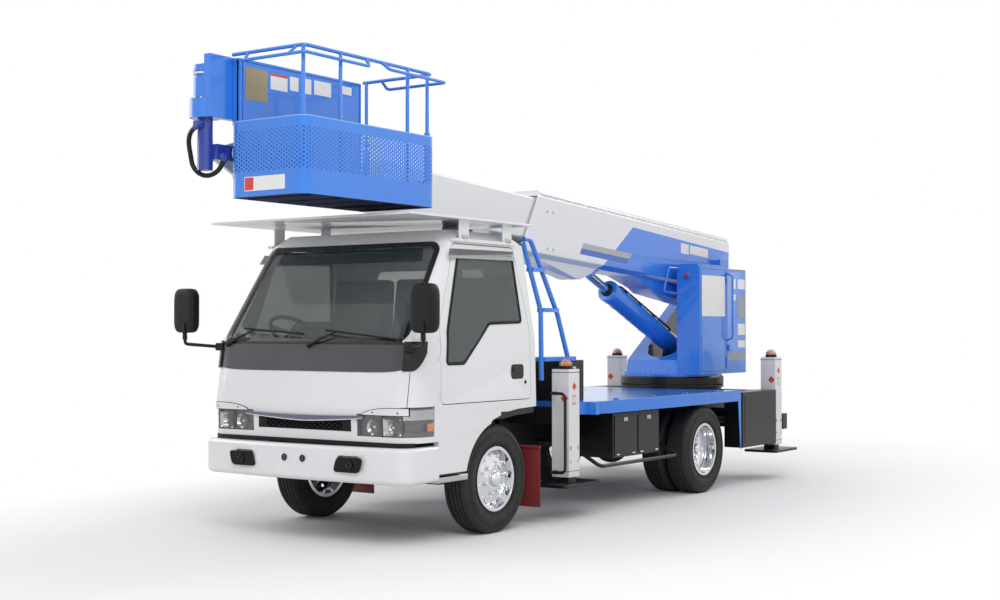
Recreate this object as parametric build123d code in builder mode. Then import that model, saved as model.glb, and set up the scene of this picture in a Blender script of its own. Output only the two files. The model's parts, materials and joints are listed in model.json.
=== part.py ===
from build123d import *
from math import atan2, cos, degrees, hypot, radians, sin
import os

os.makedirs("parts", exist_ok=True)

# Driving dimensions in millimetres. The front of the truck faces -Y, its left side is +X, the floor is Z = 0
wheelbase = 2850
front_axle_y = -1478
rear_axle_y = front_axle_y + wheelbase

tyre_radius = 348
tyre_width = 190
rim_radius = 196
rim_flange_radius = 209
rim_width = 150
flange_thickness = 8
front_wheel_x = 720
kingpin_x = 600
rear_outer_x = 785
rear_inner_x = 565
hub_bore_radius = 32
fit_gap = 0.3
running_gap = 6

frame_half_width = 350
frame_top = 650
frame_height = 180
frame_flange = 60
frame_plate = 8
frame_front = front_axle_y - 880
frame_rear = rear_axle_y + 1570

cab_wall = 40
cab_half_width = 845
cab_front = front_axle_y - 945
cab_rear = front_axle_y + 410
cab_floor_top = 820
cab_floor_plate = 40
cab_front_sill = 630
door_gap = 5

bumper_front = front_axle_y - 1035
bumper_bottom = 385
bumper_top = 605

deck_top = 800
deck_half_width = 900
deck_front = front_axle_y + 1000
deck_rear = rear_axle_y + 620
deck_edge_height = 88

jack_post = 140
jack_x = 790
front_jack_y = front_axle_y + 870
rear_jack_y = rear_axle_y + 1480
jack_post_bottom = 290
front_jack_top = 1036
rear_jack_top = 1066
jack_leg = 100
jack_foot_rest = 255
jack_foot_size = (300, 480)
jack_foot_plate = 22
jack_collar = 40

slew_y = rear_axle_y + 1095
ring_radius = 460
ring_top = 900

boom_angle = 3.5
luff_pin = (rear_axle_y + 1710, 1890)
boom_pin_drop = 72
base_size = (320, 370)
base_side_bottom = 1705
base_floor = 1672
base_chamfer = 45
second_size = (276, 322)
third_size = (190, 250)
boom_plate = 8
boom_corner = 16
slide_gap = 0.5
base_front = front_axle_y + 1290
base_rear = rear_axle_y + 1930
base_mouth_slope = 210
second_front = front_axle_y - 350
second_rear = rear_axle_y + 1450
third_front = front_axle_y - 1480
third_rear = rear_axle_y + 1250
tip_reach = 110

lift_foot = (rear_axle_y + 1200, 1130)
lift_eye = (rear_axle_y - 430, 1790)
barrel_radius = 88
rod_radius = 36

post_x = -26
post_y = front_axle_y - 1760
basket_right = 106
basket_left = 690
basket_front = front_axle_y - 1700
basket_rear = front_axle_y - 490
basket_bottom = 2068
basket_skirt = 2508
basket_rail = 2900
post_split = 2530
post_radius = 45


def along(distance):
    """Place along the truck, measured back from the front axle."""
    return front_axle_y + distance


def cross_plane(y):
    """Plane across the truck at y: local x is X, local y is Z, and a negative extrusion runs to +Y."""
    return Plane.XZ.offset(-y)


def side_plane(x):
    """Plane along the truck at x: local x is Y, local y is Z, and the normal is +X."""
    return Plane.YZ.offset(x)


def block(x_span, y_span, z_span, mode=Mode.ADD):
    """A plate or box between two corners, added to the part in hand."""
    centre = [(a + b) / 2 for a, b in (x_span, y_span, z_span)]
    with Locations(tuple(centre)):
        Box(*[abs(b - a) for a, b in (x_span, y_span, z_span)], mode=mode)


def side_profile(points, x_span, radius=0, mode=Mode.ADD):
    """A profile drawn in the side view and extruded across the truck."""
    with BuildSketch(side_plane(x_span[0])) as profile:
        with BuildLine():
            Polyline(*points, close=True)
        make_face()
        if radius:
            fillet(profile.vertices(), radius)
    extrude(profile.sketch, amount=x_span[1] - x_span[0], mode=mode)


def front_profile(points, y_span, radius=0, mode=Mode.ADD):
    """A profile drawn in the front view and extruded along the truck."""
    with BuildSketch(cross_plane(y_span[0])) as profile:
        with BuildLine():
            Polyline(*points, close=True)
        make_face()
        if radius:
            fillet(profile.vertices(), radius)
    extrude(profile.sketch, amount=y_span[0] - y_span[1], mode=mode)


def tube(points, radius, bend=60, mode=Mode.ADD):
    """A round tube along straight runs with bent corners."""
    with BuildLine() as route:
        if len(points) > 2:
            FilletPolyline(*points, radius=bend)
        else:
            Line(*points)
    with BuildSketch(Plane(origin=route.line @ 0, z_dir=route.line % 0)) as section:
        Circle(radius)
    sweep(section.sketch, path=route.line, mode=mode)


def rod_between(start, end, radius, mode=Mode.ADD):
    """A round bar from one point to another."""
    axis = Vector(*end) - Vector(*start)
    with BuildSketch(Plane(origin=start, z_dir=axis)) as section:
        Circle(radius)
    extrude(section.sketch, amount=axis.length, mode=mode)


def save(piece, label):
    piece.part.label = label
    export_step(piece.part, f"parts/{label}.step")


def save_mirrored(piece, label):
    """The same piece on the other side of the truck."""
    with BuildPart() as other:
        mirror(piece.part, about=Plane.YZ)
    save(other, label)


# Chassis: two channel rails with the four cab mounts on top, joined by round cross tubes
cross_tube_places = [along(-760), along(1100), along(1700)]
cross_tube_places += [rear_axle_y + behind for behind in (-500, 450, 1450)]
cross_tube_z = frame_top - 50
cross_tube_radius = 38
cab_mounts = [along(d) for d in (-700, 330)]
with BuildPart() as chassis_frame:
    for side in (1, -1):
        with BuildSketch(cross_plane(frame_front)) as channel:
            with Locations((side * (frame_half_width - frame_flange / 2), frame_top - frame_height / 2)):
                Rectangle(frame_flange, frame_height)
            with Locations((side * (frame_half_width - frame_flange / 2 - frame_plate),
                            frame_top - frame_height / 2)):
                Rectangle(frame_flange, frame_height - 2 * frame_plate, mode=Mode.SUBTRACT)
        extrude(amount=frame_front - frame_rear)
        for mount_y in cab_mounts:
            with Locations((side * (frame_half_width - 30), mount_y,
                            (frame_top + cab_floor_top - cab_floor_plate - fit_gap) / 2)):
                Cylinder(42, cab_floor_top - cab_floor_plate - fit_gap - frame_top)
save(chassis_frame, "chassis_frame")

with BuildPart() as cross_tubes:
    for tube_y in cross_tube_places:
        with Locations((0, tube_y, cross_tube_z)):
            Cylinder(cross_tube_radius, 2 * (frame_half_width - frame_plate), rotation=(0, 90, 0))
            Cylinder(cross_tube_radius - 6, 2 * frame_half_width, rotation=(0, 90, 0), mode=Mode.SUBTRACT)
save(cross_tubes, "cross_tubes")

# Sub-frame on the rails: box runners, the two jack beams and the pedestal of the slewing ring
runner_height = 60
jack_beam_width = 110
jack_beam_end = jack_x - jack_post / 2
with BuildPart() as sub_frame:
    for side in (1, -1):
        block((side * (frame_half_width - 60), side * frame_half_width), (along(700), frame_rear),
              (frame_top, frame_top + runner_height))
    for beam_y in (front_jack_y, rear_jack_y):
        block((-jack_beam_end, jack_beam_end), (beam_y - jack_beam_width / 2, beam_y + jack_beam_width / 2),
              (frame_top, frame_top + 120))
    with Locations((0, slew_y, (frame_top + runner_height / 2 + deck_top) / 2)):
        Cylinder(ring_radius - 20, deck_top - frame_top - runner_height / 2)
save(sub_frame, "sub_frame")

# Slewing ring: toothed outer race bolted to the pedestal
with BuildPart() as slewing_ring:
    with Locations((0, slew_y, (deck_top + ring_top) / 2)):
        Cylinder(ring_radius, ring_top - deck_top)
    chamfer(slewing_ring.edges().group_by(Axis.Z)[-1], 10)
    with BuildSketch(Plane.XY.offset(deck_top + 18)) as groove:
        with Locations((0, slew_y)):
            Circle(ring_radius + 5)
            Circle(ring_radius - 12, mode=Mode.SUBTRACT)
    extrude(groove.sketch, amount=12, mode=Mode.SUBTRACT)
save(slewing_ring, "slewing_ring")

# Front axle: dropped beam, leaf springs and their hangers under the rails
spring_half_width = 30
spring_x = frame_half_width - 30
rail_bottom = frame_top - frame_height
kingpin_radius = 16
kingpin_boss = 38
boss_height = 70
boss_middle = 355
with BuildPart() as front_axle:
    front_profile([(-kingpin_x, 320), (-420, 320), (-370, 285), (370, 285), (420, 320),
                   (kingpin_x, 320), (kingpin_x, 390), (440, 390), (390, 345), (-390, 345),
                   (-440, 390), (-kingpin_x, 390)], (front_axle_y - 32, front_axle_y + 32))
    for side in (1, -1):
        with Locations((side * kingpin_x, front_axle_y, boss_middle)):
            Cylinder(kingpin_boss, boss_height)
            Cylinder(kingpin_radius + fit_gap, boss_height, mode=Mode.SUBTRACT)
        x_span = (side * (spring_x - spring_half_width), side * (spring_x + spring_half_width))
        side_profile([(along(-520), 430), (along(-120), 358), (along(120), 358), (along(520), 430),
                      (along(520), 452), (along(100), 400), (along(-100), 400), (along(-520), 452)],
                     x_span)
        for hanger in (-520, 520):
            block(x_span, (along(hanger - 30), along(hanger + 30)), (400, rail_bottom))
        block(x_span, (along(-60), along(60)), (340, 362))
save(front_axle, "front_axle")

# Rear axle: tubes and differential housing, leaf springs, and the propeller shaft up to the gearbox
gearbox_rear = along(950)
shaft_z = 510
rear_spring_x = frame_half_width - 30
spring_seat_z = tyre_radius + 42
spring_eye_z = tyre_radius + 92
with BuildPart() as rear_axle:
    with Locations((0, rear_axle_y, tyre_radius)):
        Cylinder(55, 2 * (rear_inner_x - tyre_width / 2 - 30), rotation=(0, 90, 0))
        Sphere(150)
    rod_between((0, rear_axle_y - 100, tyre_radius + 10), (0, gearbox_rear + 50, shaft_z), 38)
    rod_between((0, gearbox_rear + fit_gap, shaft_z), (0, gearbox_rear + 60, shaft_z), 50)
    for side in (1, -1):
        rod_between((side * 400, rear_axle_y, tyre_radius), (side * 690, rear_axle_y, tyre_radius),
                    hub_bore_radius - fit_gap)
        x_span = (side * (rear_spring_x - spring_half_width), side * (rear_spring_x + spring_half_width))
        side_profile([(rear_axle_y - 620, spring_eye_z), (rear_axle_y - 120, spring_seat_z),
                      (rear_axle_y + 120, spring_seat_z), (rear_axle_y + 620, spring_eye_z),
                      (rear_axle_y + 620, spring_eye_z + 22), (rear_axle_y + 100, spring_seat_z + 50),
                      (rear_axle_y - 100, spring_seat_z + 50), (rear_axle_y - 620, spring_eye_z + 22)], x_span)
        for hanger in (-620, 620):
            block(x_span, (rear_axle_y + hanger - 30, rear_axle_y + hanger + 30),
                  (spring_eye_z - 30, rail_bottom))
save(rear_axle, "rear_axle")

# Engine with its gearbox: one closed mass between the rails, hung on two cross bearers
engine_half_width = frame_half_width - 120
with BuildPart() as engine_block:
    block((-engine_half_width, engine_half_width), (along(-480), along(360)), (430, 890))
    side_profile([(along(360), 440), (along(360), 690), (along(560), 620), (gearbox_rear, 600),
                  (gearbox_rear, 440)], (-150, 150))
    for bearer in (-400, 200):
        block((-frame_half_width + frame_plate + fit_gap, frame_half_width - frame_plate - fit_gap),
              (along(bearer), along(bearer + 60)), (560, 600))
save(engine_block, "engine_block")

# Fuel tank on the right rail
with BuildPart() as fuel_tank:
    front_profile([(-frame_half_width - fit_gap - 30, 380), (-820, 380), (-820, 660),
                   (-frame_half_width - fit_gap - 30, 660)], (along(1500), along(2250)), 45)
    for strap in (1620, 2100):
        block((-frame_half_width - 100, -frame_half_width - fit_gap), (along(strap), along(strap + 50)), (500, 640))
save(fuel_tank, "fuel_tank")

# Wheels: tyre section and rim section are turned about the axle
half_tyre = tyre_width / 2
half_rim = rim_width / 2


def wheel_plane(x, y):
    """Section plane of a wheel: local x runs outwards along the axle, local y is the radius."""
    return Plane(origin=(x, y, tyre_radius), x_dir=(1, 0, 0), z_dir=(0, -1, 0))


def tyre(x, y):
    """Tyre seated on its rim, with rounded shoulders."""
    inner = rim_radius + fit_gap
    bead = half_rim - fit_gap
    with BuildSketch(wheel_plane(x, y)) as section:
        with BuildLine():
            Polyline((-bead, inner), (bead, inner), (bead, rim_flange_radius + 3),
                     (half_tyre, rim_flange_radius + 45), (half_tyre - 4, tyre_radius - 28),
                     (half_tyre - 22, tyre_radius), (-half_tyre + 22, tyre_radius),
                     (-half_tyre + 4, tyre_radius - 28), (-half_tyre, rim_flange_radius + 45),
                     (-bead, rim_flange_radius + 3), close=True)
        make_face()
        shoulders = section.vertices().filter_by_position(Axis.Z, tyre_radius + rim_flange_radius + 40,
                                                          2 * tyre_radius + 1)
        fillet(shoulders, 10)
    revolve(section.sketch, axis=Axis((x, y, tyre_radius), (1, 0, 0)))


def rim(x, y):
    """Rim barrel with its two flanges, open towards the disc."""
    with BuildSketch(wheel_plane(x, y)) as section:
        with Locations((0, rim_radius - 4)):
            Rectangle(rim_width, 8)
        for side in (1, -1):
            with Locations((side * (half_rim + flange_thickness / 2), (rim_flange_radius + rim_radius - 8) / 2)):
                Rectangle(flange_thickness, rim_flange_radius - rim_radius + 8)
    revolve(section.sketch, axis=Axis((x, y, tyre_radius), (1, 0, 0)))


def disc(x, y, profile):
    """Wheel disc turned from a profile of (outward, radius) points."""
    with BuildSketch(wheel_plane(x, y)) as section:
        with BuildLine():
            Polyline(*profile, close=True)
        make_face()
    revolve(section.sketch, axis=Axis((x, y, tyre_radius), (1, 0, 0)))


def disc_holes(x, y, count, pitch_radius, hole_radius, depth=200):
    """Round holes through the disc on a pitch circle."""
    face = Plane(origin=(x, y, tyre_radius), x_dir=(0, 1, 0), z_dir=(1, 0, 0))
    with BuildSketch(face) as pattern:
        with PolarLocations(pitch_radius, count):
            Circle(hole_radius)
    extrude(pattern.sketch, amount=depth, both=True, mode=Mode.SUBTRACT)


with BuildPart() as front_left_tyre:
    tyre(front_wheel_x, front_axle_y)
save(front_left_tyre, "front_left_tyre")
save_mirrored(front_left_tyre, "front_right_tyre")

with BuildPart() as front_left_wheel:
    rim(front_wheel_x, front_axle_y)
    disc(front_wheel_x, front_axle_y,
         [(-40, hub_bore_radius), (-40, 70), (40, 78), (48, 100), (40, 150), (22, rim_radius - 6),
          (32, rim_radius - 6), (52, 152), (60, 102), (72, 74), (74, hub_bore_radius)])
    disc_holes(front_wheel_x, front_axle_y, 12, 166, 11)
save(front_left_wheel, "front_left_wheel")
save_mirrored(front_left_wheel, "front_right_wheel")

with BuildPart() as rear_left_tyres:
    for x in (rear_outer_x, rear_inner_x):
        tyre(x, rear_axle_y)
save(rear_left_tyres, "rear_left_tyres")
save_mirrored(rear_left_tyres, "rear_right_tyres")

rear_hub_reach = rear_outer_x - rear_inner_x
with BuildPart() as rear_left_wheels:
    for x in (rear_outer_x, rear_inner_x):
        rim(x, rear_axle_y)
    disc(rear_outer_x, rear_axle_y,
         [(-rear_hub_reach, hub_bore_radius), (-rear_hub_reach, 90), (-70, 90), (-40, 150),
          (-20, rim_radius - 6), (-8, rim_radius - 6), (-20, 148), (-42, 95), (-44, hub_bore_radius)])
    disc(rear_inner_x, rear_axle_y,
         [(0, 85), (30, 120), (50, rim_radius - 6), (62, rim_radius - 6), (42, 118), (20, 85)])
    disc_holes(rear_outer_x + 180, rear_axle_y, 6, 130, 24)
save(rear_left_wheels, "rear_left_wheels")
save_mirrored(rear_left_wheels, "rear_right_wheels")

# Steering knuckles: fork astride the beam end with the kingpin, stub axle and steering arm
fork_low = boss_middle - boss_height / 2 - running_gap
fork_high = boss_middle + boss_height / 2 + running_gap
fork_web = kingpin_x + kingpin_boss + running_gap
with BuildPart() as left_knuckle:
    for z_span in ((fork_low - 48, fork_low), (fork_high, fork_high + 42)):
        block((kingpin_x, fork_web + 16), (front_axle_y - 34, front_axle_y + 34), z_span)
        with Locations((kingpin_x, front_axle_y, sum(z_span) / 2)):
            Cylinder(34, z_span[1] - z_span[0])
    with Locations((kingpin_x, front_axle_y, boss_middle)):
        Cylinder(kingpin_radius, boss_height + 2 * running_gap)
    block((fork_web, fork_web + 16), (front_axle_y - 34, front_axle_y + 34), (fork_low - 48, fork_high + 42))
    rod_between((fork_web, front_axle_y, tyre_radius), (front_wheel_x + 60, front_axle_y, tyre_radius),
                hub_bore_radius - fit_gap)
    block((kingpin_x - 30, kingpin_x - 5), (front_axle_y, front_axle_y + 190), (270, 300))
save(left_knuckle, "left_knuckle")
save_mirrored(left_knuckle, "right_knuckle")

# Cab: sections of the whole body from the sill to the roof
# columns: height, half width, front, rear, front corner radius
cab_sections = [
    (430, 838, cab_front + 18, cab_rear, 150),
    (836, cab_half_width, cab_front, cab_rear, 150),
    (1235, 836, cab_front + 55, cab_rear, 140),
    (1865, 776, cab_front + 470, cab_rear - 70, 120),
    (1940, 690, cab_front + 560, cab_rear - 130, 90),
]
cab_roof = cab_sections[-1][0]


def cab_body(inset, low, high):
    """The cab's outer form moved in by an inset, between two heights."""
    rows = cab_sections
    heights = sorted({low, high} | {row[0] for row in rows if low < row[0] < high})

    def at_height(z):
        for lower, upper in zip(rows, rows[1:]):
            if z <= upper[0] or upper is rows[-1]:
                share = (z - lower[0]) / (upper[0] - lower[0])
                return [a + share * (b - a) for a, b in zip(lower, upper)]

    slices = []
    for z in heights:
        _, half_width, front, rear, corner = at_height(z)
        half_width -= inset
        front += inset
        rear -= inset
        with BuildSketch(Plane.XY.offset(z)) as level:
            with BuildLine():
                Polyline((-half_width, front), (half_width, front), (half_width, rear),
                         (-half_width, rear), close=True)
            make_face()
            front_corners = level.vertices().group_by(Axis.Y)[0]
            rear_corners = level.vertices().group_by(Axis.Y)[-1]
            fillet(front_corners, corner - inset / 2)
            fillet(rear_corners, 45 - inset / 2)
        slices.append(level.sketch)
    with BuildPart() as body:
        loft(slices, ruled=True)
    return body.part


door_edge = 640
door_outline = [(along(-door_edge), 850), (along(-door_edge), 1330), (along(-425), 1850), (along(225), 1850),
                (along(350), 1330), (along(350), 850)]
window_outline = [(along(-575), 1100), (along(-560), 1300), (along(-395), 1775), (along(205), 1790),
                  (along(255), 1360), (along(-110), 1350), (along(-400), 1100)]
shield_outline = [(-748, 1240), (-706, 1845), (706, 1845), (748, 1240)]
shield_top_radius = 60
shield_bottom_radius = 12
cowl_half_width = 776
cowl_bottom = 1064
cowl_radius = 95
seal_width = 16
seal_height = 3
rear_window_outline = [(-480, 1370), (-480, 1720), (480, 1720), (480, 1370)]
headlamp_span = (430, 760, 665, 800)
corner_lamp_span = (760, 900, 665, 845)
grille_span = (-385, 385, 690, 765)
handle_place = (along(200), 1035)
handle_size = (130, 88)
arch_skin_radius = 378
arch_room_radius = 425
tunnel_half_width = 330
tunnel_top = 960

hinge_x = 834
hinge_y = along(-655)
hinge_heights = (905, 1130)
hinge_half_height = 20
hinge_pin_radius = 3
hinge_ring_radius = 6

cab_outer = cab_body(0, cab_sections[0][0], cab_roof)
cab_inner = cab_body(cab_wall, cab_floor_top, cab_roof - cab_wall)
cab_under = cab_body(cab_wall, cab_sections[0][0], cab_floor_top - cab_floor_plate)


def lamp_zone(grow, mode=Mode.SUBTRACT):
    """The pockets of the headlamps and corner lamps, which wrap round the front corners."""
    for inner, outer, low, high in (headlamp_span, corner_lamp_span):
        for side in (1, -1):
            block((side * (inner - grow), side * (outer + grow)), (cab_front - 60, along(-705) + grow),
                  (low - grow, high + grow), mode=mode)


def shield(grow):
    """The windscreen's outline in the front view, with round upper corners."""
    with BuildSketch(cross_plane(cab_front - 50)) as outline:
        with BuildLine():
            Polyline(*shield_outline, close=True)
        make_face()
        fillet(outline.vertices().group_by(Axis.Z)[-1], shield_top_radius)
        fillet(outline.vertices().group_by(Axis.Z)[0], shield_bottom_radius)
        if grow:
            offset(amount=grow)
    return outline.sketch


arch_line = [(along(-120), 700), (along(-95), 732), (along(60), 776), (along(200), 792), (cab_rear + 60, 802),
             (cab_rear + 60, 600), (along(-120), 600)]
with BuildPart() as cab_shell:
    add(cab_outer)
    add(cab_inner, mode=Mode.SUBTRACT)
    add(cab_under, mode=Mode.SUBTRACT)
    block((-900, 900), (cab_front - 50, along(-660)), (400, cab_front_sill), mode=Mode.SUBTRACT)
    block((-900, 900), (front_axle_y, cab_rear + 50), (400, cab_floor_top - cab_floor_plate),
          mode=Mode.SUBTRACT)
    block((-tunnel_half_width, tunnel_half_width), (along(-520), cab_rear - 10), (780, tunnel_top))
    block((-tunnel_half_width + 30, tunnel_half_width - 30), (along(-490), cab_rear + 50),
          (770, tunnel_top - 30), mode=Mode.SUBTRACT)
    for side in (1, -1):
        with Locations((side * 660, front_axle_y, tyre_radius)):
            Cylinder(arch_room_radius, 300, rotation=(0, 90, 0), mode=Mode.SUBTRACT)
        with Locations((side * 850, front_axle_y, tyre_radius)):
            Cylinder(arch_skin_radius, 100, rotation=(0, 90, 0), mode=Mode.SUBTRACT)
        side_profile(arch_line, (side * 806, side * 900), mode=Mode.SUBTRACT)
        side_profile(door_outline, (side * 600, side * 900), 30, mode=Mode.SUBTRACT)
        for hinge_z in hinge_heights:
            block((side * (hinge_x - 18), side * 880), (hinge_y - 12, along(-630)),
                  (hinge_z - hinge_half_height, hinge_z + hinge_half_height), mode=Mode.SUBTRACT)
            with Locations((side * hinge_x, hinge_y, hinge_z)):
                Cylinder(hinge_pin_radius, 2 * hinge_half_height + 4)
        block((side * 760, side * 800), (along(-430), along(230)), (1862, 1880))
    extrude(shield(0), amount=-(along(-330) - cab_front + 50), mode=Mode.SUBTRACT)
    front_profile(rear_window_outline, (cab_rear - 160, cab_rear + 50), 60, mode=Mode.SUBTRACT)
    block(grille_span[:2], (cab_front - 50, cab_front + 25), grille_span[2:], mode=Mode.SUBTRACT)
    lamp_zone(0)
save(cab_shell, "cab_shell")

# Cab glass: windscreen and rear window as thin panes in the middle of the wall
glass_inset = 16
glass_thickness = 5
pane_outer = cab_body(glass_inset, 900, cab_roof - 20)
pane_inner = cab_body(glass_inset + glass_thickness, 890, cab_roof - 10)
with BuildPart() as glass_zones:
    extrude(shield(0), amount=-(along(-330) - cab_front + 50))
    front_profile(rear_window_outline, (cab_rear - 160, cab_rear + 50), 60)
with BuildPart() as cab_glass:
    add(pane_outer)
    add(pane_inner, mode=Mode.SUBTRACT)
    add(glass_zones.part, mode=Mode.INTERSECT)
save(cab_glass, "cab_glass")

# Cab trim: windscreen seal and cowl panel on the skin, black lips in the wheel arches, and step strips
skin_raised = cab_body(-seal_height, 900, cab_roof - 20)
skin_level = cab_body(-fit_gap, 890, cab_roof - 10)
lip_drop = 42
lip_span = (815, 825)
step_span = (690, 836)
with BuildPart() as trim_zones:
    extrude(shield(seal_width), amount=-(along(-330) - cab_front + 50))
    extrude(shield(-seal_width), amount=-(along(-330) - cab_front + 60), mode=Mode.SUBTRACT)
    with BuildSketch(cross_plane(cab_front - 50)) as cowl:
        with BuildLine():
            Polyline((-cowl_half_width, shield_outline[0][1] + 15), (-cowl_half_width, cowl_bottom),
                     (cowl_half_width, cowl_bottom), (cowl_half_width, shield_outline[0][1] + 15), close=True)
        make_face()
        fillet(cowl.vertices().group_by(Axis.Z)[0], cowl_radius)
    extrude(cowl.sketch, amount=-(along(-700) - cab_front + 50))
    block((-shield_outline[-1][0] + seal_width, shield_outline[-1][0] - seal_width),
          (cab_front - 60, along(-330)), (shield_outline[0][1] + seal_width, shield_outline[0][1] + 60),
          mode=Mode.SUBTRACT)
with BuildPart() as arch_lip:
    side_profile([(along(-150), tyre_radius + 292), *arch_line[1:5], (cab_rear + 60, arch_line[4][1] - lip_drop),
                  (along(200), arch_line[3][1] - lip_drop), (along(60), arch_line[2][1] - lip_drop),
                  (along(-60), arch_line[2][1] - lip_drop)], lip_span)
    with Locations((sum(lip_span) / 2, front_axle_y, tyre_radius)):
        Cylinder(arch_skin_radius - 8, 40, rotation=(0, 90, 0), mode=Mode.SUBTRACT)
    block((lip_span[0] - 10, lip_span[1] + 10), (cab_rear - fit_gap, cab_rear + 80), (600, 900), mode=Mode.SUBTRACT)
with BuildPart() as cab_trim:
    add(skin_raised)
    add(skin_level, mode=Mode.SUBTRACT)
    add(trim_zones.part, mode=Mode.INTERSECT)
    add(arch_lip.part)
    mirror(arch_lip.part, about=Plane.YZ)
    for side in (1, -1):
        block((side * step_span[0], side * step_span[1]), (along(-655), along(-400)), (420, 430 - fit_gap))
save(cab_trim, "cab_trim")

# Doors: the same wall as the cab, cut free by the door gap, with the window cut out
with BuildPart() as door_zone:
    with BuildSketch(side_plane(600)) as door_face:
        with BuildLine():
            Polyline(*door_outline, close=True)
        make_face()
        fillet(door_face.vertices(), 30)
        offset(amount=-door_gap)
    extrude(amount=300)
with BuildPart() as left_door:
    add(cab_outer)
    add(cab_inner, mode=Mode.SUBTRACT)
    add(door_zone.part, mode=Mode.INTERSECT)
    side_profile(window_outline, (600, 900), 28, mode=Mode.SUBTRACT)
    with BuildSketch(side_plane(cab_half_width - 22)) as handle:
        with Locations(handle_place):
            RectangleRounded(*handle_size, 24)
    extrude(handle.sketch, amount=60, mode=Mode.SUBTRACT)
    with BuildSketch(side_plane(cab_half_width - 23)) as grip:
        with Locations((handle_place[0], handle_place[1] + 12)):
            RectangleRounded(handle_size[0] - 26, 34, 12)
    extrude(grip.sketch, amount=16)
    for hinge_z in hinge_heights:
        leaf = hinge_half_height - fit_gap
        block((hinge_x - 4, hinge_x + 3), (hinge_y, along(-door_edge + 8)), (hinge_z - leaf, hinge_z + leaf))
        with Locations((hinge_x, hinge_y, hinge_z)):
            Cylinder(hinge_ring_radius, 2 * leaf)
            Cylinder(hinge_pin_radius + fit_gap, 2 * leaf, mode=Mode.SUBTRACT)
save(left_door, "left_door")
save_mirrored(left_door, "right_door")
def window_face(grow, x):
    """The door window's outline in the side view."""
    with BuildSketch(side_plane(x)) as face:
        with BuildLine():
            Polyline(*window_outline, close=True)
        make_face()
        fillet(face.vertices(), 28)
        if grow:
            offset(amount=grow)
    return face.sketch


with BuildPart() as window_seal:
    add(skin_raised)
    add(skin_level, mode=Mode.SUBTRACT)
    extrude(window_face(10, 600), amount=300, mode=Mode.INTERSECT)
    extrude(window_face(-10, 599), amount=302, mode=Mode.SUBTRACT)
with BuildPart() as left_door_glass:
    add(pane_outer)
    add(pane_inner, mode=Mode.SUBTRACT)
    extrude(window_face(0, 600), amount=300, mode=Mode.INTERSECT)
    add(window_seal.part)
save(left_door_glass, "left_door_glass")
save_mirrored(left_door_glass, "right_door_glass")

# Headlamps and corner lamps, filling the pockets of the cab corners
lamp_depth = 38
with BuildPart() as lamp_blocks:
    lamp_zone(-fit_gap, mode=Mode.ADD)
with BuildPart() as front_lamps:
    add(cab_body(0, 600, 900))
    add(cab_body(lamp_depth, 590, 910), mode=Mode.SUBTRACT)
    add(lamp_blocks.part, mode=Mode.INTERSECT)
save(front_lamps, "front_lamps")

# Grille: a framed honeycomb insert in the front panel, three staggered rows of cells deep
cell_radius = 12
cell_wall = 3
cell_count = (27, 3)
with BuildPart() as grille:
    block((grille_span[0] + fit_gap, grille_span[1] - fit_gap), (cab_front + 4, cab_front + 25 - fit_gap),
          (grille_span[2] + fit_gap, grille_span[3] - fit_gap))
    with BuildSketch(cross_plane(cab_front)) as cells:
        with Locations((0, (grille_span[2] + grille_span[3]) / 2)):
            with HexLocations(cell_radius + cell_wall / 2, *cell_count):
                RegularPolygon(cell_radius, 6)
    extrude(cells.sketch, amount=-18, mode=Mode.SUBTRACT)
save(grille, "grille")

# Bumper: wrapped channel with fog recesses and plate holes, on two stays from the rails
bumper_half_width = 850
bumper_bow = 55
bumper_end_radius = 110
bumper_wall = 50
bumper_rear = along(-668)


def bumper_plan(inset):
    """The bumper's outline from above, moved in by an inset: a bowed front with round ends."""
    half_width = bumper_half_width - inset
    front = bumper_front + inset
    with BuildSketch(Plane.XY.offset(bumper_bottom)) as plan:
        with BuildLine():
            ThreePointArc((-half_width, front + bumper_bow), (0, front), (half_width, front + bumper_bow))
            Polyline((half_width, front + bumper_bow), (half_width, bumper_rear + inset),
                     (-half_width, bumper_rear + inset), (-half_width, front + bumper_bow))
        make_face()
        fillet(plan.vertices().group_by(Axis.Y)[0], bumper_end_radius - inset)
    return plan.sketch


with BuildPart() as bumper:
    extrude(bumper_plan(0), amount=bumper_top - bumper_bottom)
    fillet(bumper.edges().group_by(Axis.Z)[-1].sort_by(Axis.Y)[:3], 26)
    fillet(bumper.edges().group_by(Axis.Z)[0].sort_by(Axis.Y)[:3], 34)
    extrude(bumper_plan(bumper_wall), amount=bumper_top - bumper_bottom, mode=Mode.SUBTRACT)
    for side in (1, -1):
        block((side * 312, side * frame_half_width), (bumper_front + 45, frame_front - fit_gap), (490, 560))
        with BuildSketch(cross_plane(bumper_front - 10)) as recess:
            with Locations((side * 430, 510)):
                RectangleRounded(170, 80, 25)
        extrude(recess.sketch, amount=-55, mode=Mode.SUBTRACT)
        with Locations((side * 75, bumper_front, 520)):
            Cylinder(20, 60, rotation=(90, 0, 0), mode=Mode.SUBTRACT)
save(bumper, "bumper")

# Dashboard on the cab floor, with the steering column
wheel_hub = Vector(-450, along(-520), 1270)
column_rake = 50
column_axis = Vector(0, cos(radians(column_rake)), sin(radians(column_rake)))
column_top = wheel_hub - column_axis * 30
column_foot = wheel_hub - column_axis * 330
with BuildPart() as dashboard:
    side_profile([(along(-860), cab_floor_top + fit_gap), (along(-875), 1215), (along(-640), 1205),
                  (along(-590), 1140), (along(-600), 960), (along(-700), cab_floor_top + fit_gap)],
                 (-760, 760), 20)
    add(cab_body(cab_wall + 5, cab_floor_top, cab_roof - cab_wall), mode=Mode.INTERSECT)
    rod_between(tuple(column_foot), tuple(column_top), 32)
save(dashboard, "dashboard")

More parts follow.
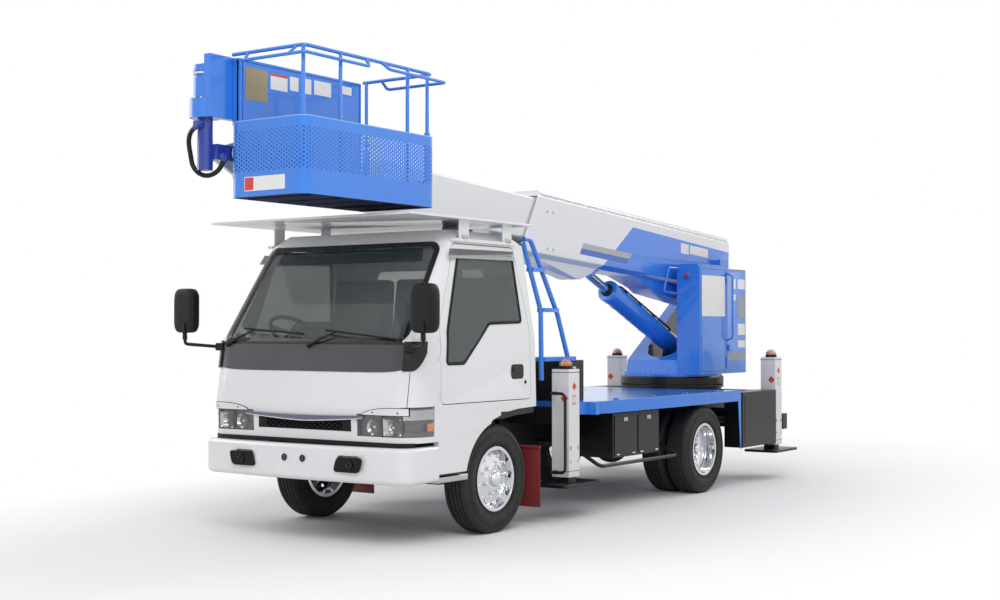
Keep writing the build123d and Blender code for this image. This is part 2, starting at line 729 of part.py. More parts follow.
wheel_face = Plane(origin=tuple(wheel_hub), x_dir=(1, 0, 0), z_dir=tuple(column_axis))
with BuildPart() as steering_wheel:
    with Locations(wheel_face):
        Torus(190, 14)
        Cylinder(38, 59)
        for spoke in (90, 210, 330):
            with Locations(Location((0, 0, 0), (0, 0, spoke))):
                with Locations((100, 0, 0)):
                    Box(170, 26, 12)
save(steering_wheel, "steering_wheel")

# Seats: driver's seat on the right, double passenger seat on the left
with BuildPart() as seats:
    for x_span in ((-700, -230), (-150, 720)):
        x_foot = (max(x_span[0], tunnel_half_width + 20), x_span[1] - 20) if x_span[1] > 0 else (
            x_span[0] + 20, -tunnel_half_width - 20)
        block(x_foot, (along(-300), along(60)), (cab_floor_top + fit_gap, 1000))
        side_profile([(along(-370), 985), (along(-370), 1090), (along(80), 1070), (along(160), 1660),
                      (along(255), 1650), (along(215), 985)], x_span, 30)
save(seats, "seats")

# Mirrors on arms from the front corners of the cab
mirror_x = 1000
mirror_y = along(-965)
mirror_z = 1430
with BuildPart() as mirrors:
    for side in (1, -1):
        with Locations((side * mirror_x, mirror_y, mirror_z)):
            Box(170, 70, 280)
        tube([(side * mirror_x, mirror_y, mirror_z - 135), (side * mirror_x, mirror_y, 1215),
              (side * 740, along(-830), 1195)], 11, 40)
    fillet(mirrors.edges().filter_by(Axis.Z).group_by(SortBy.LENGTH)[-1], 30)
    add(cab_body(-fit_gap, cab_sections[0][0], cab_roof), mode=Mode.SUBTRACT)
save(mirrors, "mirrors")

# Roof board on four brackets that stand on the gutters
board_bottom = 1998
with BuildPart() as roof_board:
    block((-830, 830), (along(-930), along(400)), (board_bottom, board_bottom + 14))
    for side in (1, -1):
        for bracket in (-330, 150):
            block((side * 781, side * 791), (along(bracket - 50), along(bracket + 50)), (1880 + fit_gap, board_bottom))
save(roof_board, "roof_board")

# Ladder behind the cab, carried by its step plate on the tool box
stile_radius = 17
tool_box_top = 1090
with BuildPart() as ladder:
    tube([(700, along(470), 1900), (700, along(690), 1440), (700, along(700), 960)], stile_radius, 120)
    tube([(700, along(480), 1925), (700, along(560), 1925), (700, along(905), 1417), (700, along(1040), 1116)],
         stile_radius, 60)
    for rung_z, y_span in ((1720, (555, 700)), (1445, (690, 880))):
        block((670, 730), (along(y_span[0]), along(y_span[1])), (rung_z - 14, rung_z + 14))
    block((560, 735), (along(700), along(1100)), (tool_box_top + fit_gap, tool_box_top + 30))
save(ladder, "ladder")

# Deck: chequered tray with a folded edge and chamfered front corners
deck_sheet = 6
joist_count = 5
with BuildPart() as deck:
    with BuildSketch(Plane.XY.offset(deck_top - deck_edge_height)) as deck_plan:
        with BuildLine():
            Polyline((-deck_half_width, deck_rear), (-deck_half_width, along(1300)), (-780, deck_front),
                     (780, deck_front), (deck_half_width, along(1300)), (deck_half_width, deck_rear), close=True)
        make_face()
    extrude(amount=deck_edge_height)
    with BuildSketch(Plane.XY.offset(deck_top - deck_edge_height)) as tray:
        with BuildLine():
            Polyline((-deck_half_width, deck_rear), (-deck_half_width, along(1300)), (-780, deck_front),
                     (780, deck_front), (deck_half_width, along(1300)), (deck_half_width, deck_rear), close=True)
        make_face()
        offset(amount=-deck_sheet)
    extrude(amount=deck_edge_height - deck_sheet, mode=Mode.SUBTRACT)
    for joist in range(joist_count):
        joist_y = deck_front + 100 + joist * (deck_rear - deck_front - 170) / (joist_count - 1)
        block((-deck_half_width + 3, deck_half_width - 3), (joist_y, joist_y + 50),
              (frame_top + runner_height + fit_gap, deck_top - 3))
    for side in (1, -1):
        side_profile([(deck_rear - 50, deck_top - 90), (deck_rear - 10, 310), (deck_rear, 310),
                      (deck_rear, deck_top - 60)], (side * (deck_half_width - 6), side * deck_half_width))
save(deck, "deck")

# Tool box behind the cab and the black boxes under the deck
with BuildPart() as side_boxes:
    block((-700, 640), (along(1060), along(1360)), (deck_top + fit_gap, tool_box_top))
    block((frame_half_width + fit_gap, 860), (along(1400), along(2100)), (380, deck_top - deck_edge_height - 8))
save(side_boxes, "side_boxes")

# Mudflaps behind the front wheels, each on a round stay from the rail
flap_y = along(470)
flap_span = (600, 838)
with BuildPart() as mudflaps:
    for side in (1, -1):
        rod_between((side * (frame_half_width + fit_gap), flap_y, 520), (side * flap_span[1], flap_y, 520), 11)
        block((side * flap_span[0], side * flap_span[1]), (flap_y - 3, flap_y + 3), (120, 524))
save(mudflaps, "mudflaps")

# Side guards: black tube rails below the deck edge, hung from the rails
with BuildPart() as side_guards:
    for side in (1, -1):
        tube([(side * (frame_half_width + fit_gap), along(1180), 500), (side * 600, along(1180), 500),
              (side * 885, along(1180), 340), (side * 885, along(2330), 340), (side * 600, along(2330), 500),
              (side * (frame_half_width + fit_gap), along(2330), 500)], 14, 40)
        post_face = front_jack_y - jack_post / 2 - fit_gap
        tube([(side * 760, post_face, 872), (side * 760, post_face - 88, 872), (side * 885, post_face - 88, 872),
              (side * 885, post_face - 88, 330), (side * 760, post_face - 88, 330), (side * 760, post_face, 330)],
             10, 36)
save(side_guards, "side_guards")

# Jack housings: square posts at the ends of the jack beams, with a close guide collar at the foot
with BuildPart() as jack_housings:
    for jack_y, top in ((front_jack_y, front_jack_top), (rear_jack_y, rear_jack_top)):
        for side in (1, -1):
            x_span = (side * (jack_x - jack_post / 2 + fit_gap), side * (jack_x + jack_post / 2))
            block(x_span, (jack_y - jack_post / 2, jack_y + jack_post / 2), (jack_post_bottom, top))
            for gap, z_span in ((fit_gap, (jack_post_bottom, jack_post_bottom + jack_collar)),
                                (running_gap, (jack_post_bottom + jack_collar, top - 20))):
                bore = jack_leg / 2 + gap
                block((side * jack_x - bore, side * jack_x + bore), (jack_y - bore, jack_y + bore),
                      z_span, mode=Mode.SUBTRACT)
save(jack_housings, "jack_housings")

for label, jack_y, top in (("front", front_jack_y, front_jack_top), ("rear", rear_jack_y, rear_jack_top)):
    with BuildPart() as jack:
        half = jack_leg / 2
        block((jack_x - half, jack_x + half), (jack_y - half, jack_y + half), (jack_foot_rest, top - 80))
        with Locations((jack_x, jack_y, jack_foot_rest - jack_foot_plate / 2)):
            Box(*jack_foot_size, jack_foot_plate)
        chamfer(jack.edges().filter_by(Axis.Z).sort_by(Axis.X)[-2:], 20)
    save(jack, f"{label}_left_jack")
    save_mirrored(jack, f"{label}_right_jack")

# Beacons on the jack posts: a low dome on a wider base
beacon_radius = 45
beacon_height = 68
beacon_base = (52, 22)
with BuildPart() as beacon:
    with Locations((0, 0, beacon_height / 2)):
        Cylinder(beacon_radius, beacon_height)
    fillet(beacon.edges().group_by(Axis.Z)[-1], beacon_radius - 12)
    with Locations((0, 0, beacon_base[1] / 2)):
        Cylinder(*beacon_base)
with BuildPart() as beacons:
    for jack_y, top in ((front_jack_y, front_jack_top), (rear_jack_y, rear_jack_top)):
        for side in (1, -1):
            with Locations((side * jack_x, jack_y, top + fit_gap)):
                add(beacon.part)
save(beacons, "beacons")

# Rear body: closed step boxes between deck and rear jacks, and the rear bumper bar
with BuildPart() as rear_body:
    for side in (1, -1):
        block((side * 700, side * 872), (deck_rear + 90, rear_jack_y - jack_post / 2 - 8), (310, 780))
        block((side * (frame_half_width + fit_gap), side * 710), (deck_rear + 170, deck_rear + 230), (560, 640))
    block((-860, 860), (frame_rear + fit_gap, frame_rear + 100), (420, 560))
save(rear_body, "rear_body")

with BuildPart() as tail_lamps:
    for side in (1, -1):
        block((side * 560, side * 800), (frame_rear + 100 + fit_gap, frame_rear + 130), (450, 530))
save(tail_lamps, "tail_lamps")

# Turret: low box with a sloping front panel slotted for the lift cylinder, and two cheeks for the boom pin
pin_y, pin_z = luff_pin
foot_y, foot_z = lift_foot
cheek_x = 200
foot_inner = barrel_radius + 4
foot_plate = 28
cheek_plate = 24
turret_right = -280
turret_front = slew_y - 335
turret_rear = slew_y + 585
turret_flange_radius = 445
turret_flange_top = ring_top + slide_gap + 18
slope_foot = (slew_y - 314, 1043)
slope_head = (slew_y + 531, 1585)
slot_half_width = 170
luff_pin_radius = 45
with BuildPart() as turret:
    side_profile([(turret_front, turret_flange_top - 1), slope_foot, slope_head, (turret_rear, slope_head[1]),
                  (turret_rear, turret_flange_top - 1)], (turret_right, cheek_x + cheek_plate))
    side_profile([(turret_front + 24, 940), (slope_foot[0] + 20, 1018), (slope_head[0] + 8, slope_head[1] - 30),
                  (turret_rear + 170, slope_head[1] - 30), (turret_rear + 170, 940)],
                 (turret_right - 1, cheek_x), mode=Mode.SUBTRACT)
    with Locations((0, slew_y, (ring_top + slide_gap + turret_flange_top) / 2)):
        Cylinder(turret_flange_radius, turret_flange_top - ring_top - slide_gap)
    slot_centre = slope_foot[0] + 60 + slot_half_width * cos(radians(30))
    with BuildSketch(Plane.XY.offset(1030)) as slot:
        with Locations((0, slot_centre)):
            Circle(slot_half_width)
        with Locations((0, slot_centre + 400)):
            Rectangle(2 * slot_half_width, 800)
    extrude(slot.sketch, amount=600, mode=Mode.SUBTRACT)
    for side in (1, -1):
        side_profile([(slope_foot[0] + 70, 930), (slope_foot[0] + 70, 1060), slope_head, (pin_y - 90, pin_z + 70),
                      (pin_y + 90, pin_z + 70), (pin_y + 90, 1750), (turret_rear, 930)],
                     (side * cheek_x, side * (cheek_x + cheek_plate)))
        rod_between((side * (cheek_x - 1), pin_y, pin_z), (side * (cheek_x + 60), pin_y, pin_z),
                    luff_pin_radius + fit_gap, mode=Mode.SUBTRACT)
        side_profile([(foot_y - 90, 930), (foot_y + 90, 930), (foot_y + 45, foot_z + 45),
                      (foot_y - 45, foot_z + 45)], (side * foot_inner, side * (foot_inner + foot_plate)))
save(turret, "turret")

# Control cabinet on the turret's left side: a tall front box and a rear box
cabinet_inner = cheek_x + cheek_plate + fit_gap
cabinet_outer = 450
cabinet_step = slew_y + 175
cabinet_bottom = turret_flange_top + fit_gap
with BuildPart() as turret_cabinets:
    block((cabinet_inner, cabinet_outer), (turret_front, cabinet_step), (cabinet_bottom, 1865))
    fillet(turret_cabinets.edges().filter_by(Axis.Z).sort_by(Axis.X)[-2:], 8)
    block((cabinet_inner, cabinet_outer - 10), (cabinet_step - 1, slew_y + 611), (cabinet_bottom, 1850))
    block((cabinet_inner, cabinet_outer - 40), (turret_front + 35, cabinet_step - 35), (1860, 1885))
    tube([(cabinet_inner + 20, turret_front + 1, 1845), (cabinet_inner + 20, turret_front - 180, 1845),
          (cabinet_inner + 20, turret_front - 280, 1640), (cabinet_inner + 20, turret_front + 1, 1622)], 9, 25)
    tube([(cabinet_outer - 11, cabinet_step + 30, 1815), (cabinet_outer + 45, cabinet_step + 45, 1795),
          (cabinet_outer + 45, cabinet_step + 45, 1235), (cabinet_outer - 11, cabinet_step + 30, 1215)], 9, 20)
save(turret_cabinets, "turret_cabinets")

# Boom sections are drawn level and then tilted about the boom pin
boom_axis_z = pin_z + boom_pin_drop
pad_length = 80


def tilt(piece):
    """Turn a level boom piece to its stowed angle about the boom pin."""
    return piece.rotate(Axis((0, pin_y, pin_z), (1, 0, 0)), -boom_angle)


def stowed(y, z):
    """Where a point of the level boom stands when the boom is stowed."""
    ahead = pin_y - y
    above = z - pin_z
    slope = radians(boom_angle)
    return (pin_y - ahead * cos(slope) + above * sin(slope), pin_z + ahead * sin(slope) + above * cos(slope))


def boom_collar(outer, inner, y_span, outer_radius, inner_radius):
    """A collar with round corners about the boom's axis, used for walls and slide pads alike."""
    with BuildSketch(cross_plane(y_span[0])) as section:
        with Locations((0, boom_axis_z)):
            RectangleRounded(*outer, outer_radius)
            RectangleRounded(*inner, inner_radius, mode=Mode.SUBTRACT)
    extrude(section.sketch, amount=y_span[0] - y_span[1])


def boom_tube(size, y_span):
    """The wall of a boom section."""
    boom_collar(size, less(size, boom_plate), y_span, boom_corner, boom_corner - boom_plate)


def front_pads(outer_size, inner_size, y_span):
    """Slide pads fixed in the mouth of a section, a slide gap off the section that they carry."""
    boom_collar(less(outer_size, 1), less(inner_size, -slide_gap), y_span, boom_corner - 1, boom_corner + slide_gap)


def rear_pads(outer_size, inner_size, y_span):
    """Slide pads fixed round the tail of a section, a slide gap off the wall that they run in."""
    boom_collar(less(outer_size, boom_plate + slide_gap), less(inner_size, 1), y_span,
                boom_corner - boom_plate - slide_gap, boom_corner - 1)


def base_profile(y, inset=0):
    """The base section's outline: square shoulders, and lower corners cut to a narrower floor."""
    half = base_size[0] / 2 - inset
    top = boom_axis_z + base_size[1] / 2 - inset
    with BuildSketch(cross_plane(y)) as section:
        with BuildLine():
            Polyline((-half, top), (half, top), (half, base_side_bottom + inset / 2),
                     (half - base_chamfer, base_floor + inset), (-half + base_chamfer, base_floor + inset),
                     (-half, base_side_bottom + inset / 2), close=True)
        make_face()
        fillet(section.vertices().group_by(Axis.Z)[-1], boom_corner - inset)
    return section.sketch


def less(size, gap):
    return (size[0] - 2 * gap, size[1] - 2 * gap)


pad_front = base_front + base_mouth_slope + 20
cover_rise = 38
cover_depth = 45
cover_half_width = 150
cover_taper = 6
cover_top = boom_axis_z + base_size[1] / 2 + cover_rise
gusset = [(pin_y - 1560, base_floor), (pin_y - 1200, 1600), (pin_y - 1110, 1562), (pin_y - 800, 1542),
          (pin_y - 180, 1505), (pin_y + 60, 1505), (pin_y + 150, base_floor)]
gusset_hollow = [(pin_y - 1490, base_floor - 5), (pin_y - 1196, 1609), (pin_y - 1106, 1571), (pin_y - 800, 1550),
                 (pin_y - 180, 1513), (pin_y + 54, 1513), (pin_y + 138, base_floor - 5)]
eye_level_y = pin_y - 2130
eye_half_width = 60
eye_plate = 24
eye_room = (-80, 165)
wedge_bottom = 1570
wedge_head = (2 * eye_half_width + 56, 60)
gusset_half_width = base_size[0] / 2 - base_chamfer
with BuildPart() as level_base:
    extrude(base_profile(base_front), amount=base_front - base_rear)
    extrude(base_profile(base_front - 1, boom_plate), amount=base_front - base_rear - 2, mode=Mode.SUBTRACT)
    extrude(base_profile(pad_front, 1), amount=-pad_length)
    with BuildSketch(cross_plane(pad_front - 20)) as pad_bore:
        with Locations((0, boom_axis_z)):
            RectangleRounded(*less(second_size, -slide_gap), boom_corner + slide_gap)
    extrude(pad_bore.sketch, amount=-pad_length - 40, mode=Mode.SUBTRACT)
    side_profile([(base_front - 10, base_side_bottom + 40), (base_front + base_mouth_slope, cover_top + 10),
                  (base_front - 10, cover_top + 10)], (-base_size[0], base_size[0]), mode=Mode.SUBTRACT)
    front_profile([(-cover_half_width, cover_top - cover_depth), (cover_half_width, cover_top - cover_depth),
                   (cover_half_width - cover_taper, cover_top), (-cover_half_width + cover_taper, cover_top)],
                  (base_front + base_mouth_slope + 2, base_rear))
    side_profile(gusset, (-gusset_half_width, gusset_half_width))
    side_profile(gusset_hollow, (-gusset_half_width + boom_plate, gusset_half_width - boom_plate), mode=Mode.SUBTRACT)
    with BuildSketch(Plane.XY.offset(base_floor + 1)) as wedge_top:
        with Locations((0, eye_level_y - 430)):
            Rectangle(2 * gusset_half_width, 930)
    with BuildSketch(Plane.XY.offset(wedge_bottom)) as wedge_foot:
        with Locations((0, eye_level_y - 225)):
            Rectangle(*wedge_head)
    loft([wedge_top.sketch, wedge_foot.sketch], ruled=True)
    for side in (1, -1):
        side_profile([(eye_level_y - 190, base_floor + 2), (eye_level_y - 190, 1590), (eye_level_y - 20, 1606),
                      (eye_level_y + 50, 1640), (eye_level_y + 62, base_floor + 2)],
                     (side * eye_half_width, side * (eye_half_width + eye_plate)))
    block((-eye_half_width, eye_half_width), (eye_level_y + eye_room[0], eye_level_y + eye_room[1]),
          (wedge_bottom - 10, base_floor + 40), mode=Mode.SUBTRACT)
    for side in (1, -1):
        rod_between((side * (base_size[0] / 2 - 1), pin_y, pin_z), (side * (cheek_x + cheek_plate - 1), pin_y, pin_z),
                    luff_pin_radius)
        rod_between((side * (base_size[0] / 2 - 1), pin_y, pin_z), (side * (cheek_x - fit_gap), pin_y, pin_z), 80)
with BuildPart() as boom_base:
    add(tilt(level_base.part))
save(boom_base, "boom_base")

with BuildPart() as level_second:
    boom_tube(second_size, (second_front, second_rear))
    front_pads(second_size, third_size, (second_front, second_front + pad_length))
    rear_pads(base_size, second_size, (second_rear - pad_length, second_rear))
with BuildPart() as boom_second:
    add(tilt(level_second.part))
save(boom_second, "boom_second")

ear_radius = 60
ear_inner = 64
tip_level = (third_front - tip_reach, boom_axis_z)
with BuildPart() as level_third:
    boom_tube(third_size, (third_front, third_rear))
    rear_pads(second_size, third_size, (third_rear - pad_length, third_rear))
    for side in (1, -1):
        with BuildSketch(side_plane(side * ear_inner)) as ear:
            with BuildLine():
                Polyline((third_front + 100, boom_axis_z - 105), (third_front + 100, boom_axis_z + 105),
                         (third_front, boom_axis_z + 105), (tip_level[0], boom_axis_z + ear_radius),
                         (tip_level[0], boom_axis_z - ear_radius), (third_front, boom_axis_z - 105), close=True)
            make_face()
            with Locations(tip_level):
                Circle(ear_radius)
        extrude(ear.sketch, amount=side * 24)
with BuildPart() as boom_third:
    add(tilt(level_third.part))
save(boom_third, "boom_third")

# Boom rest behind the cab, its pad 5 mm under the second section
rest_y = along(600)
rest_gap = 5
section_bottom = boom_axis_z - second_size[1] / 2
with BuildPart() as level_pad:
    block((-150, 150), (rest_y - 50, rest_y + 50), (section_bottom - rest_gap - 30, section_bottom - rest_gap))
with BuildPart() as boom_rest:
    add(tilt(level_pad.part))
    post_top = stowed(rest_y, section_bottom - rest_gap)[1] - 20
    block((-60, 60), (rest_y - 30, rest_y + 50), (frame_top + fit_gap, post_top))
    block((-frame_half_width, frame_half_width), (rest_y - 40, rest_y + 40), (frame_top + fit_gap, frame_top + 60))
save(boom_rest, "boom_rest")

# Lift cylinder: barrel on the turret, rod with an eye under the boom base
lift_length = hypot(lift_eye[0] - foot_y, lift_eye[1] - foot_z)
lift_slope = degrees(atan2(lift_eye[1] - foot_z, lift_eye[0] - foot_y))
barrel_length = lift_length - 410


def lift_point(distance, x=0):
    """A point on the cylinder's centre line, measured from its foot pin."""
    return (x, foot_y + distance * cos(radians(lift_slope)), foot_z + distance * sin(radians(lift_slope)))


with BuildPart() as lift_barrel:
    rod_between(lift_point(0), lift_point(barrel_length), barrel_radius)
    rod_between(lift_point(90), lift_point(barrel_length + 10), rod_radius + fit_gap, mode=Mode.SUBTRACT)
    rod_between((-foot_inner + fit_gap, foot_y, foot_z), (foot_inner - fit_gap, foot_y, foot_z), 45)
save(lift_barrel, "lift_barrel")

with BuildPart() as lift_rod:
    rod_between(lift_point(100), lift_point(lift_length - 30), rod_radius)
    rod_between((-eye_half_width + fit_gap, *lift_eye), (eye_half_width - fit_gap, *lift_eye), 46)
save(lift_rod, "lift_rod")

# Tip bracket: levelled head on the boom's end pin, with the lower post and two hose glands
tip_y, tip_z = stowed(*tip_level)
post_bottom = 2230
hose_radius = 14
hose_start = (-44, along(-1825), 2474)
hose_end = (69, along(-1706), 2284)
gland_radius = 18
# Hose route between the two glands. Columns: across, along the truck, height
hose_points = [(-84, -1817, 2455), (-112, -1806, 2420), (-124, -1795, 2384), (-124, -1780, 2325),
               (-121, -1772, 2273), (-105, -1762, 2239), (-77, -1752, 2214), (-44, -1743, 2202), (-7, -1735, 2203),
               (27, -1724, 2218), (55, -1714, 2247)]
hose_route = [hose_start, *[(x, along(y), z) for x, y, z in hose_points], hose_end]
with BuildPart() as tip_bracket:
    rod_between((-ear_inner + fit_gap, tip_y, tip_z), (ear_inner - fit_gap, tip_y, tip_z), 48)
    block((-50, 50), (post_y + 20, tip_y), (tip_z - 45, tip_z + 45))
    with Locations((post_x, post_y, (post_bottom + post_split) / 2)):
        Cylinder(post_radius, post_split - post_bottom)
    for point, beside, length in ((hose_start, hose_route[1], 42), (hose_end, hose_route[-2], 30)):
        reach = (Vector(point) - Vector(beside)).normalized()
        rod_between(Vector(point) + reach * fit_gap, Vector(point) + reach * length, gland_radius)
    block((hose_start[0] + 12, hose_start[0] + 50), (hose_start[1] - 24, post_y - post_radius + 12),
          (hose_start[2], hose_start[2] + 36))
    block((40, hose_end[0] + 18), (hose_end[1] - 18, hose_end[1] + 18),
          (hose_end[2] + 14, max(hose_end[2] + 42, tip_z - 15)))
save(tip_bracket, "tip_bracket")

# Swing post: rotary head and the arm that carries the basket
panel_x = basket_right - 34
panel_low = 2490
head_steps = [(post_split + slide_gap, 2640, 90), (2640, 2765, 68), (2765, 2778, 60), (2778, 2840, 66)]
with BuildPart() as swing_post:
    for low, high, radius in head_steps:
        with Locations((post_x, post_y, (low + high) / 2)):
            Cylinder(radius, high - low)
    block((post_x, panel_x - fit_gap), (post_y - 55, post_y + 55), (2560, 2830))
    block((post_x + 50, panel_x - fit_gap), (post_y - 60, post_y + 200), (post_split + slide_gap, 2895))
    fillet(swing_post.edges().filter_by(Axis.Z).sort_by(Axis.Y)[-2:], 10)
save(swing_post, "swing_post")

# Basket: floor pan, skirt and the tall panel on the boom side
skirt = 4
rim_height = 16
rim_width = 7
rib_count = 5
rib_drop = 22
floor_thickness = 30
corner_radius = 60
panel_top = 2890
with BuildPart() as basket_tub:
    with BuildSketch(Plane.XY.offset(basket_bottom)) as floor_plan:
        with Locations(((basket_right + basket_left) / 2, (basket_front + basket_rear) / 2)):
            RectangleRounded(basket_left - basket_right, basket_rear - basket_front, corner_radius)
    extrude(amount=basket_skirt - basket_bottom)
    with BuildSketch(Plane.XY.offset(basket_bottom + floor_thickness)) as well_plan:
        with Locations(((basket_right + basket_left) / 2, (basket_front + basket_rear) / 2)):
            RectangleRounded(basket_left - basket_right - 2 * skirt, basket_rear - basket_front - 2 * skirt,
                             corner_radius - skirt)
    extrude(amount=basket_skirt - basket_bottom, mode=Mode.SUBTRACT)
    with BuildSketch(Plane.XY.offset(basket_skirt - rim_height)) as rim_plan:
        with Locations(((basket_right + basket_left) / 2, (basket_front + basket_rear) / 2)):
            RectangleRounded(basket_left - basket_right, basket_rear - basket_front, corner_radius)
            RectangleRounded(basket_left - basket_right - 2 * rim_width, basket_rear - basket_front - 2 * rim_width,
                             corner_radius - rim_width, mode=Mode.SUBTRACT)
    extrude(amount=rim_height)
    for rib in range(rib_count):
        rib_y = basket_front + 110 + rib * (basket_rear - basket_front - 220) / (rib_count - 1)
        block((basket_right + 60, basket_left - 60), (rib_y - 14, rib_y + 14),
              (basket_bottom - rib_drop, basket_bottom + 5))
    block((basket_right, basket_right + 20), (basket_front + 60, basket_rear - 60), (basket_bottom + 20, panel_top))
    block((panel_x, basket_right + 20), (basket_front + 60, third_front - 20), (panel_low, panel_top))
    block((panel_x + 14, basket_right + 20), (third_front - 21, basket_rear - 60), (panel_top - 60, panel_top))
save(basket_tub, "basket_tub")

# Rails: a bent top rail on posts, and two lower grab loops that stand off it outwards
rail_radius = 14
loop_radius = 9
rail_inset = 20
loop_drop = 48
rail_front = basket_front + rail_inset
rail_left = basket_left - rail_inset
rail_rear = basket_rear - rail_inset
rail_start_x = basket_right + 10


def grab_loop(start, corner, end, reach):
    """A loop below the top rail that leaves it at both ends and turns the corner a reach outside it."""
    low = basket_rail - loop_drop
    out_x = corner[0] + reach
    out_y = corner[1] + (reach if corner[1] > start[1] or corner[1] > end[1] else -reach)
    first = (start[0], out_y) if start[1] == corner[1] else (out_x, start[1])
    last = (end[0], out_y) if end[1] == corner[1] else (out_x, end[1])
    tube([(*start, basket_rail), (*first, low), (out_x, out_y, low), (*last, low), (*end, basket_rail)],
         loop_radius, 24)


with BuildPart() as basket_rails:
    tube([(rail_start_x, rail_rear, basket_rail), (rail_left, rail_rear, basket_rail),
          (rail_left, rail_front, basket_rail), (rail_start_x, rail_front, basket_rail)], rail_radius, 60)
    posts = [(rail_start_x + 50, rail_rear), (rail_left - 60, rail_rear), (rail_left, rail_rear - 80),
             (rail_left, rail_front + 480), (rail_left, rail_front + 90), (rail_start_x + 50, rail_front)]
    for x, y in posts:
        rod_between((x, y, basket_bottom + floor_thickness + fit_gap), (x, y, basket_rail), 12)
    grab_loop((rail_start_x + 70, rail_front), (rail_left, rail_front), (rail_left, rail_front + 640), 32)
    grab_loop((rail_start_x + 150, rail_rear), (rail_left, rail_rear), (rail_left, rail_rear - 380), 62)
save(basket_rails, "basket_rails")


def bend_radii(points):
    """The largest bend that fits at each corner of a route."""
    places = [Vector(*point) for point in points]
    radii = []
    for before, corner, after in zip(places, places[1:], places[2:]):
        into = corner - before
        out = after - corner
        half_turn = radians(into.get_angle(out) / 2)
        radii.append(0.45 * min(into.length, out.length) * cos(half_turn) / sin(half_turn))
    return radii


# Hose loop at the boom tip: leaves the upper gland, drops and comes back up into the lower gland
hose_bends = bend_radii(hose_route)
print("hose bends:", [round(radius) for radius in hose_bends])
with BuildPart() as hose_loop:
    tube(hose_route, hose_radius, hose_bends)
save(hose_loop, "hose_loop")
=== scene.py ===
import json
from math import cos, pi, radians, sin, tan
import bmesh
import bpy
from mathutils import Matrix, Vector


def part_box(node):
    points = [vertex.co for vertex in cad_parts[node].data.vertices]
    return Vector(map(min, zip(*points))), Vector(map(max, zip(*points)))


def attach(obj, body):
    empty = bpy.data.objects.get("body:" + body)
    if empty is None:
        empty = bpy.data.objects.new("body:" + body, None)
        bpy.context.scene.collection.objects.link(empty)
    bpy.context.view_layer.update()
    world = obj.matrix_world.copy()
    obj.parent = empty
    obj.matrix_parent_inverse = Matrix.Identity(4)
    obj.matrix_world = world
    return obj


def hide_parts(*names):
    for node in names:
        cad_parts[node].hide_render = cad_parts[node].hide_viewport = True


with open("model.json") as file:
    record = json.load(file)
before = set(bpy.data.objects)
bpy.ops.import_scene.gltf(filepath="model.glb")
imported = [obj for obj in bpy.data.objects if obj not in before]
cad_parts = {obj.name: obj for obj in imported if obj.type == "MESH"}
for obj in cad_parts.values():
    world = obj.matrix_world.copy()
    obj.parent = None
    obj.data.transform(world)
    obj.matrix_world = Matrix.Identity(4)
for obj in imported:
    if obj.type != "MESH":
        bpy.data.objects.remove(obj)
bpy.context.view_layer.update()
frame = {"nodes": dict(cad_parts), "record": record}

tyreLow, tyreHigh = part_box("front_left_tyre")
axleY = (tyreLow.y + tyreHigh.y) / 2      # the front axle, from which places along the truck are measured
tyreRadius = (tyreHigh.z - tyreLow.z) / 2


def at(x, along, z):
    # x is the truck's left, along runs backwards from the front axle, z is up, all in metres
    return Vector((x, axleY + along, z))


# Camera at the photograph's viewing angle, for an image of 1000 x 600
view = {"place": (6.106, -7.640, 1.306), "turn": 34.6, "rise": 1.199, "lens": 51.84}
camera = bpy.data.objects.new("camera", bpy.data.cameras.new("camera"))
camera.data.lens = view["lens"]
camera.data.sensor_width = 36.0
camera.location = at(*view["place"])
camera.rotation_euler = (radians(90 + view["rise"]), 0, radians(view["turn"]))
bpy.context.scene.collection.objects.link(camera)
bpy.context.scene.camera = camera
print("camera placed")


# Shader maths
class Wire:
    # one socket of a node tree; Python's operators add Math nodes to it
    def __init__(self, tree, socket):
        self.tree = tree
        self.socket = socket

    def maths(self, operation, *values, clamp=False):
        node = self.tree.nodes.new("ShaderNodeMath")
        node.operation = operation
        node.use_clamp = clamp
        for slot, value in zip(node.inputs, values):
            feed(self.tree, slot, value)
        return Wire(self.tree, node.outputs[0])

    def __add__(self, other):
        return self.maths("ADD", self, other)

    def __radd__(self, other):
        return self.maths("ADD", other, self)

    def __sub__(self, other):
        return self.maths("SUBTRACT", self, other)

    def __rsub__(self, other):
        return self.maths("SUBTRACT", other, self)

    def __mul__(self, other):
        return self.maths("MULTIPLY", self, other)

    def __rmul__(self, other):
        return self.maths("MULTIPLY", other, self)

    def __truediv__(self, other):
        return self.maths("DIVIDE", self, other)

    def __gt__(self, other):
        return self.maths("GREATER_THAN", self, other)

    def __lt__(self, other):
        return self.maths("LESS_THAN", self, other)

    def __pow__(self, other):
        return self.maths("POWER", self, other)

    def clamped(self):
        return self.maths("ADD", self, 0.0, clamp=True)

    def absolute(self):
        return self.maths("ABSOLUTE", self)

    def sine(self):
        return self.maths("SINE", self)


def feed(tree, slot, value):
    if isinstance(value, Wire):
        tree.links.new(value.socket, slot)
    elif isinstance(value, (tuple, list)):
        slot.default_value = (*value, 1.0) if len(slot.default_value) == 4 and len(value) == 3 else value
    else:
        slot.default_value = value


